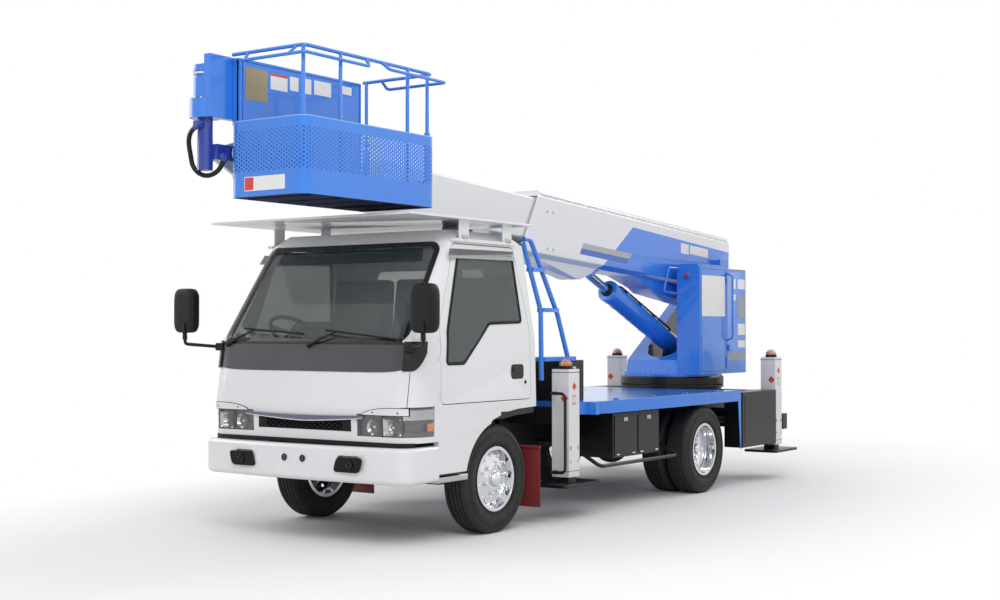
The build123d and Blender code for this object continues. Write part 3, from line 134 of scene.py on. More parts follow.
class Finish:
    # one material, with its Principled shader and a short way to add nodes
    def __init__(self, name, **settings):
        self.material = bpy.data.materials.new(name)
        self.material.use_nodes = True
        self.tree = self.material.node_tree
        self.shader = self.tree.nodes["Principled BSDF"]
        self.set(**settings)

    def set(self, **links):
        for label, value in links.items():
            feed(self.tree, self.shader.inputs[label.replace("_", " ")], value)

    def node(self, kind, settings=None, output=0, **inputs):
        node = self.tree.nodes.new("ShaderNode" + kind)
        for label, value in (settings or {}).items():
            setattr(node, label, value)
        for label, value in inputs.items():
            feed(self.tree, node.inputs[label.replace("_", " ")], value)
        return Wire(self.tree, node.outputs[output])

    def place(self):
        return self.node("TexCoord", output=3)

    def axes(self):
        split = self.tree.nodes.new("ShaderNodeSeparateXYZ")
        feed(self.tree, split.inputs[0], self.place())
        return [Wire(self.tree, socket) for socket in split.outputs]

    def noise(self, scale, detail=4.0, roughness=0.5, stretch=(1, 1, 1)):
        spot = self.node("Mapping", Vector=self.place(), Scale=stretch)
        return self.node("TexNoise", Vector=spot, Scale=scale, Detail=detail, Roughness=roughness)

    def span(self, value, low, high, toLow=0.0, toHigh=1.0):
        node = self.tree.nodes.new("ShaderNodeMapRange")
        for slot, number in zip(list(node.inputs)[:5], (value, low, high, toLow, toHigh)):
            feed(self.tree, slot, number)
        return Wire(self.tree, node.outputs[0])

    def blend(self, share, first, second):
        node = self.tree.nodes.new("ShaderNodeMix")
        node.data_type = "RGBA"
        for index, value in ((0, share), (6, first), (7, second)):
            feed(self.tree, node.inputs[index], value)
        return Wire(self.tree, node.outputs[2])

    def bump(self, height, strength=0.3, distance=0.001):
        self.set(Normal=self.node("Bump", Height=height, Strength=strength, Distance=distance))


paints = {
    "white": {"colour": (0.72, 0.73, 0.75), "dust": (0.56, 0.54, 0.51), "rough": 0.22, "dirt": 0.8},
    "blue": {"colour": (0.024, 0.195, 0.72), "dust": (0.13, 0.28, 0.62), "rough": 0.27, "dirt": 0.35},
    # the lighter "edge" blue is a painted highlight along the basket rim's top edge
    "edge": {"colour": (0.17, 0.40, 0.86), "dust": (0.30, 0.48, 0.80), "rough": 0.24, "dirt": 0.3},
    "navy": {"colour": (0.012, 0.040, 0.30), "dust": (0.10, 0.14, 0.34), "rough": 0.30, "dirt": 0.8},
    "black": {"colour": (0.007, 0.007, 0.008), "dust": (0.036, 0.034, 0.032), "rough": 0.36, "dirt": 1.0,
              "coat": 0.1, "shine": 0.3},
}


def paint(name, enamel, zones=None):
    # sprayed enamel: faint orange peel, dust that gathers low down and a few thin scuffs
    facts = paints[enamel]
    finish = Finish(name, Coat_Weight=facts.get("coat", 0.6), Coat_Roughness=0.08,
                    Specular_IOR_Level=facts.get("shine", 0.5))
    x, y, z = finish.axes()
    low = finish.span(z, 1.1, 0.25, 0.0, 0.55)
    cloud = finish.noise(2.3, 5.0) - 0.42
    dust = (cloud * facts["dirt"] * low + (finish.noise(31, 3.0) - 0.66) * 0.2).clamped()
    scuff = finish.span(finish.noise(60, 2.0, 0.5, (1, 1, 14)), 0.74, 0.82, 0.0, 0.05)
    colour = finish.blend(dust, facts["colour"], facts["dust"])
    tone = finish.span(finish.noise(0.9, 2.0), 0.3, 0.7, 0.0, 0.10)
    colour = finish.blend(tone, colour, tuple(0.82 * c for c in facts["colour"]))
    if zones:
        colour = zones(finish, colour, x, y - axleY, z)
    finish.set(Base_Color=colour, Roughness=dust * 0.4 + scuff + facts["rough"])
    finish.bump(finish.noise(420, 2.0) * 0.6 + finish.noise(70, 2.0) * 0.4, 0.05, 0.0008)
    return finish.material


def surface(name, colour, worn, clouds, share, roughs, rough, grains, relief, **settings):
    # a colour with clouds of a worn one over it, uneven roughness and a fine grain
    finish = Finish(name, **settings)
    finish.set(Base_Color=finish.blend(finish.span(finish.noise(*clouds), *share), colour, worn))
    finish.set(Roughness=finish.span(finish.noise(*roughs), 0.3, 0.7, *rough))
    finish.bump(finish.noise(*grains), *relief)
    return finish.material


def moulded(name, colour, rough=0.6, grain=900, coat=0.0, shine=0.5, dusty=0.035, relief=0.18):
    # grained plastic or rubber
    return surface(name, colour, tuple(min(1.0, c * 1.5 + dusty) for c in colour), (3.0, 4.0),
                   (0.45, 0.8, 0.0, 0.25), (18, 4.0), (rough - 0.07, rough + 0.09), (grain, 3.0),
                   (relief, 0.0006), Coat_Weight=coat, Coat_Roughness=0.2, Specular_IOR_Level=shine)


def metal(name, colour, rough):
    return surface(name, colour, tuple(c * 0.72 for c in colour), (4.0, 4.0), (0.3, 0.75, 0.0, 0.35),
                   (26, 5.0, 0.6), (rough * 0.75, rough * 1.35), (240, 3.0), (0.04, 0.0005), Metallic=1.0)


def castMetal(name, *facts):
    # sand-cast and under-sealed running gear with road dust
    return surface(name, *facts, Metallic=0.2)


def clearGlass(name, colour, alpha, rough=0.02):
    finish = Finish(name, IOR=1.5, Coat_Weight=0.5, Coat_Roughness=0.02)
    cloud = finish.noise(3.5, 3.0)
    finish.set(Base_Color=finish.blend(finish.span(cloud, 0.35, 0.7, 0.0, 0.2), colour,
                                       tuple(min(1, c + 0.05) for c in colour)))
    finish.set(Roughness=finish.span(finish.noise(14, 4.0), 0.4, 0.8, rough, rough + 0.04))
    finish.set(Alpha=finish.span(cloud, 0.3, 0.7, alpha - 0.02, alpha + 0.03))
    return finish.material


def seatCloth(name):
    finish = Finish(name, Sheen_Weight=0.3, Sheen_Roughness=0.5)
    weave, cross = (finish.node("TexWave", {"wave_type": "BANDS", "bands_direction": axis},
                                Vector=finish.place(), Scale=260.0, Distortion=0.0) for axis in ("X", "Z"))
    finish.set(Base_Color=finish.blend(weave * cross, (0.045, 0.047, 0.052), (0.11, 0.115, 0.125)))
    finish.set(Roughness=finish.span(finish.noise(12, 3.0), 0.3, 0.7, 0.8, 0.95))
    finish.bump(weave + cross, 0.3, 0.0008)
    return finish.material


def lens(name, colour, alpha, ribs):
    # moulded lamp lens with fine flutes
    finish = Finish(name, IOR=1.49, Coat_Weight=1.0, Coat_Roughness=0.03)
    cloud = finish.noise(40, 3.0)
    finish.set(Base_Color=finish.blend(finish.span(cloud, 0.3, 0.8, 0.0, 0.3), colour,
                                       tuple(c * 0.8 for c in colour)))
    finish.set(Roughness=finish.span(cloud, 0.3, 0.7, 0.06, 0.14))
    finish.set(Alpha=finish.span(cloud, 0.3, 0.7, alpha - 0.03, min(1.0, alpha + 0.03)))
    x, y, z = finish.axes()
    finish.bump((x * ribs).sine() * 0.5 + (y * ribs).sine() * 0.5, 0.35, 0.001)
    return finish.material


# colour fields on the boom base's sides: where they end, measured along the truck and upwards
boomFields = {"edgeAlong": 2.310, "edgeHeight": 1.729, "edgeLean": 1.448, "topAlong": 1.541,
              "topHeight": 2.273, "topFall": 0.0725, "bandTop": 1.999, "bandFrom": 2.147,
              "bandTo": 2.933, "bandFall": 0.0687, "bandHeight": 0.094, "side": 0.155,
              "grey": (0.36, 0.37, 0.40), "navy": (0.002, 0.085, 0.46)}
# the turret's inside, which is painted near-black blue as painted shade; its sloped front plate keeps a blue
# outer face
turretInsideShade = {"halfWidth": 0.2015, "from": 3.632, "low": 0.925, "slope": 0.641, "slopeFrom": 3.631,
                "foot": 1.037, "dark": (0.008, 0.012, 0.030)}


def boomZones(finish, colour, x, along, z):
    facts = boomFields
    behind = (along - facts["edgeAlong"]) > (z - facts["edgeHeight"]) * facts["edgeLean"]
    below = z < (facts["topHeight"] - (along - facts["topAlong"]) * facts["topFall"])
    depth = (facts["bandTop"] - z) - (along - facts["bandFrom"]) * facts["bandFall"]
    band = (depth > 0.0) * (depth < facts["bandHeight"]) * (x.absolute() > facts["side"])
    band = band * (along > (facts["bandFrom"] - depth * 0.6)) * (along < (facts["bandTo"] - depth * 0.95))
    colour = finish.blend(behind * below, paints["white"]["colour"], colour)
    lower = depth > facts["bandHeight"] / 2
    return finish.blend(band, colour, finish.blend(lower, facts["grey"], facts["navy"]))


def turretShadeZones(finish, colour, x, along, z):
    facts = turretInsideShade
    # painted shade: the blue inside the turret is darkened to near black
    inside = (x.absolute() < facts["halfWidth"]) * (along > facts["from"]) * (z > facts["low"])
    inside = inside * (z < ((along - facts["slopeFrom"]) * facts["slope"] + facts["foot"]))
    return finish.blend(inside, colour, facts["dark"])


# each finish: its material slot, its maker and what the maker takes
finishRows = {
    "whitePaint": ("white_paint", paint, "white"),
    "edgePaint": ("blue_paint", paint, "edge"),
    "boomPaint": ("blue_paint", paint, "blue", boomZones),
    "turretPaint": ("blue_paint", paint, "blue", turretShadeZones),
    "bluePaint": ("blue_paint", paint, "blue"),
    "navyPaint": ("blue_paint", paint, "navy"),
    "blackPaint": ("black_paint", paint, "black"),
    "blackPlastic": ("black_plastic", moulded, (0.008, 0.008, 0.009), 0.5, 900, 0.0, 0.25, 0.012, 0.12),
    "greyPlastic": ("grey_plastic", moulded, (0.13, 0.13, 0.14), 0.65),
    "rubberTrim": ("black_plastic", moulded, (0.009, 0.009, 0.010), 0.7, 700, 0.0, 0.25, 0.012),
    "hoseRubber": ("hose_rubber", moulded, (0.009, 0.009, 0.010), 0.42, 800, 0.0, 0.3, 0.01),
    "cowlPlastic": ("black_plastic", moulded, (0.038, 0.037, 0.047), 0.34, 90, 0.2, 0.5, 0.035, 0.03),
    "flapRubber": ("red_rubber", moulded, (0.17, 0.010, 0.014), 0.6, 500),
    "redPlastic": ("red_plastic", moulded, (0.45, 0.012, 0.012), 0.3, 400, 0.4),
    "labelWhite": ("white_paint", moulded, (0.74, 0.74, 0.72), 0.45, 500),
    "labelGrey": ("grey_plastic", moulded, (0.30, 0.32, 0.34), 0.5, 500),
    "labelRed": ("red_plastic", moulded, (0.60, 0.045, 0.04), 0.4, 500),
    "labelBrown": ("grey_plastic", moulded, (0.30, 0.25, 0.15), 0.55, 500),
    "glossBlack": ("black_plastic", moulded, (0.007, 0.007, 0.008), 0.24, 90, 0.1, 0.35, 0.008, 0.03),
    "grilleBlack": ("black_plastic", moulded, (0.005, 0.005, 0.006), 0.55, 500, 0.0, 0.2, 0.008),
    "lampGrey": ("grey_plastic", moulded, (0.085, 0.085, 0.080), 0.5, 500),
    # near-black navy: the underside's navy paint, darkened further as painted shade under the basket
    "underBlack": ("black_paint", moulded, (0.005, 0.010, 0.034), 0.7, 300, 0.0, 0.3, 0.01),
    "chrome": ("chrome", metal, (0.76, 0.77, 0.80), 0.10),
    "zincPlate": ("chrome", metal, (0.55, 0.55, 0.53), 0.38),
    "darkChrome": ("chrome", metal, (0.20, 0.21, 0.27), 0.14),
    "lampSilver": ("chrome", metal, (0.60, 0.61, 0.62), 0.20),
    "runningGear": ("cast_metal", castMetal, (0.022, 0.021, 0.02), (0.10, 0.085, 0.07), (7, 6.0, 0.6),
                    (0.4, 0.75, 0.0, 0.8), (40, 4.0), (0.55, 0.85), (170, 5.0, 0.7), (0.35, 0.0012)),
    "tyreRubber": ("tyre", surface, (0.008, 0.008, 0.0085), (0.028, 0.027, 0.026), (9, 6.0, 0.6),
                   (0.42, 0.78, 0.0, 0.55), (55, 4.0), (0.62, 0.82), (520, 3.0, 0.6), (0.25, 0.0006)),
    "cabGlass": ("glass", clearGlass, (0.10, 0.12, 0.125), 0.36),
    "visorPlastic": ("glass", clearGlass, (0.09, 0.09, 0.095), 0.60, 0.05),
    "tintPlastic": ("glass", clearGlass, (0.006, 0.035, 0.040), 0.72, 0.05),
    "lampLens": ("lamp_glass", lens, (0.50, 0.52, 0.53), 0.17, 300),
    "amberLens": ("beacon_glass", lens, (0.82, 0.24, 0.02), 0.82, 700),
    "redLens": ("red_plastic", lens, (0.50, 0.01, 0.01), 0.9, 700),
    "seatCloth": ("seat_fabric", seatCloth),
}
materials = {name: maker(name, *facts) for name, (slot, maker, *facts) in finishRows.items()}
print("materials made")


# Pieces
def publish(mesh, name, body, finish, smooth=35, bevel=0.0, sheet=0.0, slot=None, replaces=()):
    # turns a bmesh into a finished piece that rides on a body
    data = bpy.data.meshes.new(name)
    mesh.edges.index_update()
    borders = [edge.index for edge in mesh.edges if edge.is_boundary]
    mesh.to_mesh(data)
    mesh.free()
    piece = bpy.data.objects.new(name, data)
    bpy.context.scene.collection.objects.link(piece)
    data.materials.append(materials[finish])
    data.shade_smooth()
    data.set_sharp_from_angle(angle=radians(smooth))
    if sheet:
        for border in borders:
            data.edges[border].use_edge_sharp = True
        wall = piece.modifiers.new("wall", "SOLIDIFY")
        wall.thickness = sheet
        wall.offset = -1.0
    if bevel:
        edge = piece.modifiers.new("edges", "BEVEL")
        edge.width = bevel
        edge.segments = 2
        edge.limit_method = "ANGLE"
        edge.angle_limit = radians(30)
        edge.harden_normals = True
    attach(piece, body)
    slot or finishRows[finish][0]
    if replaces:
        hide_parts(*replaces)


bodyOf = {node: body for body, nodes in frame["record"]["behaviour"]["bodies"].items() for node in nodes}
slotOf = {entry["node"]: entry["material_slot"] for entry in frame["record"]["subparts"]}


def soften(node, finish, bevel):
    # a merged copy of the CAD node with eased edges, which take the light as pressed and welded metal does
    mesh = bmesh.new()
    mesh.from_mesh(frame["nodes"][node].data)
    for layer in list(mesh.loops.layers.uv):
        mesh.loops.layers.uv.remove(layer)
    bmesh.ops.remove_doubles(mesh, verts=mesh.verts, dist=0.00002)
    bmesh.ops.dissolve_limit(mesh, angle_limit=radians(0.6), verts=mesh.verts, edges=mesh.edges,
                             delimit=set())
    publish(mesh, node + "_finished", bodyOf[node], finish, 35, bevel, slot=slotOf[node], replaces=[node])


# the finish and the edge's bevel of each CAD node that is copied
softened = {
    "chassis_frame": ("blackPaint", 0.002), "sub_frame": ("blackPaint", 0.003),
    "slewing_ring": ("blackPaint", 0.002), "front_axle": ("runningGear", 0.003),
    "rear_axle": ("runningGear", 0.003), "engine_block": ("runningGear", 0.012),
    "fuel_tank": ("blackPaint", 0.004), "cab_shell": ("whitePaint", 0.003),
    "front_lamps": ("lampLens", 0.0015), "grille": ("grilleBlack", 0.002), "bumper": ("whitePaint", 0.008),
    "dashboard": ("greyPlastic", 0.008), "seats": ("seatCloth", 0.02), "roof_board": ("whitePaint", 0.003),
    "ladder": ("bluePaint", 0.002), "deck": ("bluePaint", 0.003), "side_boxes": ("blackPaint", 0.005),
    "side_guards": ("blackPaint", 0.002), "jack_housings": ("whitePaint", 0.005),
    "cross_tubes": ("blackPaint", 0.001), "cab_trim": ("glossBlack", 0.0), "mudflaps": ("flapRubber", 0.001),
    "rear_body": ("blackPaint", 0.005), "tail_lamps": ("redLens", 0.003), "boom_rest": ("blackPaint", 0.004),
    "left_knuckle": ("runningGear", 0.003), "right_knuckle": ("runningGear", 0.003),
    "steering_wheel": ("blackPlastic", 0.002), "left_door": ("whitePaint", 0.003),
    "right_door": ("whitePaint", 0.003), "turret": ("turretPaint", 0.003),
    "turret_cabinets": ("bluePaint", 0.006), "boom_base": ("boomPaint", 0.003),
    "boom_second": ("whitePaint", 0.003), "boom_third": ("whitePaint", 0.003),
    "lift_barrel": ("bluePaint", 0.002), "lift_rod": ("chrome", 0.001), "tip_bracket": ("navyPaint", 0.003),
    "swing_post": ("bluePaint", 0.004), "front_left_jack": ("blackPaint", 0.003),
    "front_right_jack": ("blackPaint", 0.003), "rear_left_jack": ("blackPaint", 0.003),
    "rear_right_jack": ("blackPaint", 0.003),
}
# CAD nodes that stay as they are, in their finish
kept = {"chrome": ("front_left_wheel", "front_right_wheel", "rear_left_wheels", "rear_right_wheels"),
        "cabGlass": ("cab_glass", "left_door_glass", "right_door_glass")}
for node, (finish, bevel) in softened.items():
    soften(node, finish, bevel)
for finish, nodes in kept.items():
    for node in nodes:
        data = frame["nodes"][node].data
        data.materials.clear()
        data.materials.append(materials[finish])
print("CAD pieces finished")


# Shaping tools: each adds its form to a mesh
def slab(mesh, low, high, edge=0.0, axis=2, segments=4):
    # a block between two corners, with the edges along one axis rounded
    made = bmesh.ops.create_cube(mesh, size=1.0)["verts"]
    bmesh.ops.scale(mesh, vec=[abs(b - a) for a, b in zip(low, high)], verts=made)
    bmesh.ops.translate(mesh, vec=(low + high) / 2, verts=made)
    if edge:
        edges = {side for vert in made for side in vert.link_edges}
        runs = {side: (side.verts[0].co - side.verts[1].co).normalized() for side in edges}
        bmesh.ops.bevel(mesh, geom=[side for side, run in runs.items() if abs(run[axis]) > 0.99], offset=edge,
                        affect="EDGES", segments=segments, profile=0.5, material=-1)


def bar(mesh, start, end, radius, tip=None, segments=20):
    run = end - start
    spot = Matrix.Translation((start + end) / 2) @ run.to_track_quat("Z", "Y").to_matrix().to_4x4()
    bmesh.ops.create_cone(mesh, cap_ends=True, segments=segments, radius1=radius,
                          radius2=radius if tip is None else tip, depth=run.length, matrix=spot)


def turned(mesh, profile, centre, axis, steps=64, ring=False):
    # a lathe shape; the profile's rows are (place along the axis, radius)
    axis = Vector(axis)
    side = axis.orthogonal().normalized()
    verts = [mesh.verts.new(centre + axis * reach + side * radius) for reach, radius in profile]
    pairs = list(zip(verts, verts[1:])) + ([(verts[-1], verts[0])] if ring else [])
    edges = [mesh.edges.new(pair) for pair in pairs]
    bmesh.ops.spin(mesh, geom=verts + edges, cent=centre, axis=axis, angle=2 * pi, steps=steps,
                   use_merge=True)


def draped(mesh, across, up, place):
    # a grid from (0, 0) to (1, 1), each of its points laid where place puts it
    made = bmesh.ops.create_grid(mesh, x_segments=across, y_segments=up, size=0.5)["verts"]
    for vert in made:
        vert.co = place(vert.co.x + 0.5, vert.co.y + 0.5)


def welded(mesh):
    bmesh.ops.remove_doubles(mesh, verts=mesh.verts, dist=0.00002)
    bmesh.ops.recalc_face_normals(mesh, faces=mesh.faces)


def build(name, body, finish, parts, smooth=35, bevel=0.0, wall=0.0, seal=welded, **more):
    # one piece; each part is a shaping tool, followed by what it takes
    mesh = bmesh.new()
    for tool, *facts in parts:
        tool(mesh, *facts)
    if wall:
        bmesh.ops.recalc_face_normals(mesh, faces=mesh.faces)
        bmesh.ops.solidify(mesh, geom=mesh.faces[:], thickness=wall)
    else:
        seal(mesh)
    publish(mesh, name, body, finish, smooth, bevel, **more)


def both(partsOf):
    # the parts of the truck's left side, then of its right
    return [part for side in (1, -1) for part in partsOf(side)]


def splineRod(name, points, radius, body, finish, resolution=6, roundness=3, replaces=()):
    # a rod whose corners are eased by its spline
    curve = bpy.data.curves.new(name, "CURVE")
    curve.dimensions = "3D"
    spline = curve.splines.new("NURBS")
    spline.points.add(len(points) - 1)
    for point, place in zip(spline.points, points):
        point.co = (*place, 1.0)
    spline.order_u = 3
    spline.use_endpoint_u = True
    spline.resolution_u = resolution
    curve.bevel_depth = radius
    curve.bevel_resolution = roundness
    curve.use_fill_caps = True
    curve.materials.append(materials[finish])
    piece = bpy.data.objects.new(name, curve)
    bpy.context.scene.collection.objects.link(piece)
    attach(piece, body)
    for node in replaces:
        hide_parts(node)
    return piece


def eased(spots, reach):
    # extra points beside each corner, so that only the corner bends
    line = [spots[0]]
    for before, spot, after in zip(spots, spots[1:], spots[2:]):
        back = min(reach, (before - spot).length / 2.1)
        ahead = min(reach, (after - spot).length / 2.1)
        line += [spot + (before - spot).normalized() * back, spot, spot + (after - spot).normalized() * ahead]
    return line + [spots[-1]]


def plates(name, body, finish, axis, face, spans, corner=0.004):
    # thin blank plates on a flat face; each span is (first low, first high, second low, second high)
    parts = []
    for a, b, c, d in spans:
        low, high = [a, c], [b, d]
        low.insert(axis, face)
        high.insert(axis, face + 0.0008)
        parts.append((slab, at(*low), at(*high), corner, axis, 3))
    build(name, body, finish, parts, 30)


# Basket: perforated skirt, floor, rim and the tall panel on the boom side
basket = {"right": 0.106, "left": 0.690, "front": -1.700, "rear": -0.490, "bottom": 2.068, "top": 2.508,
          "corner": 0.060, "sheet": 0.004, "rim": 0.007, "rimWidth": 0.008, "rimOut": 0.0015, "floor": 0.030,
          "kick": 2.240, "opening": 0.600, "panelTop": 2.89}
holes = {"low": 2.1913, "high": 2.452, "pitch": 0.0195, "rows": 11, "radius": 0.0086}
rails = {"top": 2.900, "low": 2.852, "left": 0.670, "right": 0.116, "front": -1.680, "rear": -0.510,
         "radius": 0.0110, "post": 0.0115, "loop": 0.010,
         "posts": [(0.141, -0.510), (0.670, -0.557), (0.670, -0.754), (0.670, -1.374), (0.655, -1.672)],
         "loops": [("frontLoop", (0.240, -1.680), (0.670, -1.680), (0.670, -1.150), 0.032),
                   ("rearLoop", (0.266, -0.510), (0.670, -0.510), (0.670, -1.000), 0.062)]}
corner, bottom = basket["corner"], basket["bottom"]
right, left, front, rear = (basket[key] for key in ("right", "left", "front", "rear"))
floorTop = bottom + basket["floor"]
basketMiddle = at((right + left) / 2, (front + rear) / 2, 0)
# runs round the outline: one corner, its straight sides, and where the open rear side begins and ends
arc, longSide, shortSide = corner * pi / 2, rear - front - 2 * corner, left - right - 2 * corner
rearEnd = 4 * arc + 2 * shortSide + longSide
wholeRun = rearEnd + longSide
openStart = rearEnd - arc - (basket["opening"] - right - corner)


def basketLine(run):
    # a place on the basket's outline; run starts at the boom side's front corner and goes round by the front
    low, high, first, last = right + corner, left - corner, front + corner, rear - corner
    for length, centre, start in ((arc, (low, first), 180), (shortSide, None, (low, front, 1, 0)),
                                  (arc, (high, first), 270), (longSide, None, (left, first, 0, 1)),
                                  (arc, (high, last), 0), (shortSide, None, (high, rear, -1, 0)),
                                  (arc, (low, last), 90), (longSide, None, (right, last, 0, -1))):
        if run <= length + 0.000001:
            if centre is None:
                x, along, across, back = start
                return x + across * run, along + back * run
            angle = radians(start) + run / corner
            return centre[0] + corner * cos(angle), centre[1] + corner * sin(angle)
        run -= length
    return basketLine(0)


def skirtBand(mesh, low, high, start, end, out=0.0):
    # a plain band; its columns are close together in the corners only
    runs, run = [], 0.0
    for straight in (shortSide, longSide, shortSide, longSide):
        runs += [run + arc * step / 8 for step in range(9)] + [run + arc + 0.01, run + arc + straight - 0.01]
        run += arc + straight
    runs = [start] + [place for place in runs + [run] if start < place < end] + [end]
    growX, growY = 1 + 2 * out / (left - right), 1 + 2 * out / (rear - front)

    def place(u, v):
        spot = at(*basketLine(runs[round(u * (len(runs) - 1))]), low + v * (high - low))
        away = spot - basketMiddle
        return Vector((basketMiddle.x + away.x * growX, basketMiddle.y + away.y * growY, spot.z))
    draped(mesh, len(runs) - 1, 1, place)


def turnedOut(mesh):
    # every face of the basket's wall looks away from its middle
    welded(mesh)
    wrong = []
    for face in mesh.faces:
        away = face.calc_center_median() - basketMiddle
        if face.normal.x * away.x + face.normal.y * away.y < 0:
            wrong.append(face)
    bmesh.ops.reverse_faces(mesh, faces=wrong)


def drilledSheet(mesh):
    # a flat grid whose inner corners open into holes, then laid on the basket's outline
    columns, rows = round(openStart / holes["pitch"]), holes["rows"]
    pitch, rise = openStart / columns, (holes["high"] - holes["low"]) / rows
    inner = []
    for vert in bmesh.ops.create_grid(mesh, x_segments=columns, y_segments=rows, size=0.5)["verts"]:
        column = round((vert.co.x + 0.5) * columns)
        row = round((vert.co.y + 0.5) * rows)
        atEdge = row in (0, rows)
        shift = 0.5 if column % 2 and not atEdge else 0.0
        vert.co = Vector((column * pitch, (row + shift) * rise, 0))
        if not atEdge and 2 <= column < columns - 1:
            inner.append(vert)
    for face in mesh.faces[:]:
        corners = sorted(face.verts, key=lambda vert: (round(vert.co.x / pitch), vert.co.y))
        even = round(corners[0].co.x / pitch) % 2 == 0
        bmesh.utils.face_split(face, *((corners[1], corners[2]) if even else (corners[0], corners[3])))
    opened = bmesh.ops.bevel(mesh, geom=inner, offset=holes["radius"], affect="VERTICES", segments=2,
                             profile=0.5, material=-1)["faces"]
    bmesh.ops.delete(mesh, geom=opened, context="FACES")
    bmesh.ops.triangulate(mesh, faces=mesh.faces[:])
    for vert in mesh.verts:
        vert.co = at(*basketLine(vert.co.x), holes["low"] + vert.co.y)


def basketShell():
    build("basketSkirt", "basket", "bluePaint", [
        (drilledSheet,),
        (skirtBand, bottom, holes["low"], 0, openStart),
        (skirtBand, holes["high"], basket["top"], 0, openStart),
        (skirtBand, bottom, basket["kick"], openStart, rearEnd),
        (skirtBand, bottom, basket["top"], rearEnd, wholeRun),
    ], 40, seal=turnedOut, sheet=basket["sheet"], replaces=["basket_tub"])
    # floor pan and ribs: navy paint made near black as painted shade under the basket
    inset = basket["sheet"] + 0.0005
    parts = [(slab, at(right + inset, front + inset, bottom + 0.001),
              at(left - inset, rear - inset, floorTop), corner - inset, 2, 8)]
    for rib in range(5):
        along = front + 0.110 + rib * (rear - front - 0.220) / 4
        parts.append((slab, at(right + 0.06, along - 0.014, bottom - 0.007),
                      at(left - 0.06, along + 0.014, bottom + 0.004), 0.003, 1, 2))
    build("basketFloor", "basket", "underBlack", parts, 35, 0.003)
    # ribbed rubber mat on the floor
    parts = []
    strips = 22
    for strip in range(strips):
        x = right + 0.045 + strip * (left - right - 0.105) / strips
        parts.append((slab, at(x, front + 0.05, floorTop), at(x + 0.014, rear - 0.05, floorTop + 0.004)))
    parts.append((slab, at(right + 0.035, front + 0.04, floorTop - 0.001),
                  at(left - 0.035, rear - 0.04, floorTop + 0.0015), 0.03, 2, 4))
    build("basketMat", "basket", "rubberTrim", parts, 35, 0.0012)
    # rim on the skirt's top and on the kick plate, in a lighter blue that is a painted highlight along the
    # top edge
    build("basketRim", "basket", "edgePaint",
          [(skirtBand, z - basket["rim"], z + 0.001, start, end, basket["rimOut"])
           for z, start, end in ((basket["top"], 0, openStart), (basket["top"], rearEnd, wholeRun),
                                 (basket["kick"], openStart, rearEnd))],
          40, 0.0025, seal=turnedOut, sheet=basket["rimWidth"])
    # weld beads and pads under the posts
    parts = []
    for x, along in rails["posts"]:
        parts.append((turned, [(0, 0.0122), (0.004, 0.019), (0.010, 0.0165), (0.014, 0.0122)],
                      at(x, along, floorTop), (0, 0, 1), 20))
        parts.append((slab, at(x - 0.017, along - 0.017, basket["top"] - 0.012),
                      at(x + 0.017, along + 0.017, basket["top"] - 0.004), 0.006))
    build("railFeet", "basket", "bluePaint", parts, 40, 0.001)


def basketPanel():
    inner, top = right + 0.019, basket["panelTop"]
    build("basketPanel", "basket", "bluePaint", [
        (slab, at(right, -1.64, 2.088), at(right + 0.020, -0.55, top), 0.012, 0, 4),
        (slab, at(right - 0.034, -1.64, 2.49), at(inner, -1.50, top), 0.014, 1, 4),
        (slab, at(right - 0.020, -1.505, 2.83), at(inner, -0.55, top), 0.010, 1, 4)], 35, 0.003)
    # folded edges of the panel's inner face
    fold = right + 0.0265
    parts = [(slab, at(inner, along - 0.005, 2.10), at(fold, along + 0.005, 2.885), 0.002, 2, 2)
             for along in (-1.632, -1.606)]
    parts += [(slab, at(inner, -1.62, 2.874), at(fold, -0.56, 2.886), 0.002, 0, 2),
              (slab, at(inner, -0.562, 2.10), at(fold, -0.552, 2.886), 0.002, 2, 2)]
    build("panelSeams", "basket", "bluePaint", parts, 35, 0.001)
    face = right + 0.0202
    plates("panelCard", "basket", "labelBrown", 0, face, [(-1.590, -1.405, 2.655, 2.845)])
    plates("panelLabels", "basket", "labelWhite", 0, face,
           [(-1.379, -1.233, 2.742, 2.835), (-1.212, -1.136, 2.757, 2.842), (-1.095, -1.020, 2.756, 2.848),
            (-0.994, -0.837, 2.762, 2.850), (-0.736, -0.640, 2.800, 2.851)])
    plates("panelHeads", "basket", "labelRed", 0, face + 0.0004, [(-1.379, -1.233, 2.823, 2.837)])


def basketRails():
    top, low, outer = rails["top"], rails["low"], rails["left"]
    ends = [(rails["right"], rails["rear"]), (outer, rails["rear"]), (outer, rails["front"]),
            (rails["right"], rails["front"])]
    splineRod("topRail", eased([at(x, along, top) for x, along in ends], 0.07), rails["radius"], "basket",
              "bluePaint", replaces=["basket_rails"])
    parts = [(bar, at(x, along, floorTop), at(x, along, top), rails["post"], None, 24)
             for x, along in rails["posts"]]
    # thicker sleeves on two of the posts
    parts += [(bar, at(x, along, 2.14), at(x, along, head), 0.019, 0.018, 24)
              for x, along, head in ((outer, -0.557, 2.53), (0.141, rails["rear"], 2.46))]
    build("railPosts", "basket", "bluePaint", parts, 45, 0.001)
    for name, start, turn, end, out in rails["loops"]:
        beyond = turn[1] + (-out if turn[1] == rails["front"] else out)
        spots = [at(*start, top), at(start[0], beyond, low), at(outer + out, beyond, low),
                 at(outer + out, end[1], low), at(*end, top)]
        splineRod(name, eased(spots, 0.05), rails["loop"], "basket", "bluePaint")
    spots = [at(0.575, rails["front"] - 0.032, low), at(0.600, rails["front"] - 0.018, low + 0.022),
             at(0.615, rails["front"], top)]
    splineRod("loopTie", spots, rails["loop"] * 0.8, "basket", "bluePaint")


basketShell()
basketPanel()
basketRails()
plates("loadPlate", "basket", "labelWhite", 1, front - 0.0008, [(0.232, 0.545, 2.099, 2.181)], 0.006)
plates("loadPlateHead", "basket", "labelRed", 1, front - 0.0013, [(0.236, 0.303, 2.104, 2.176)])
print("basket made")


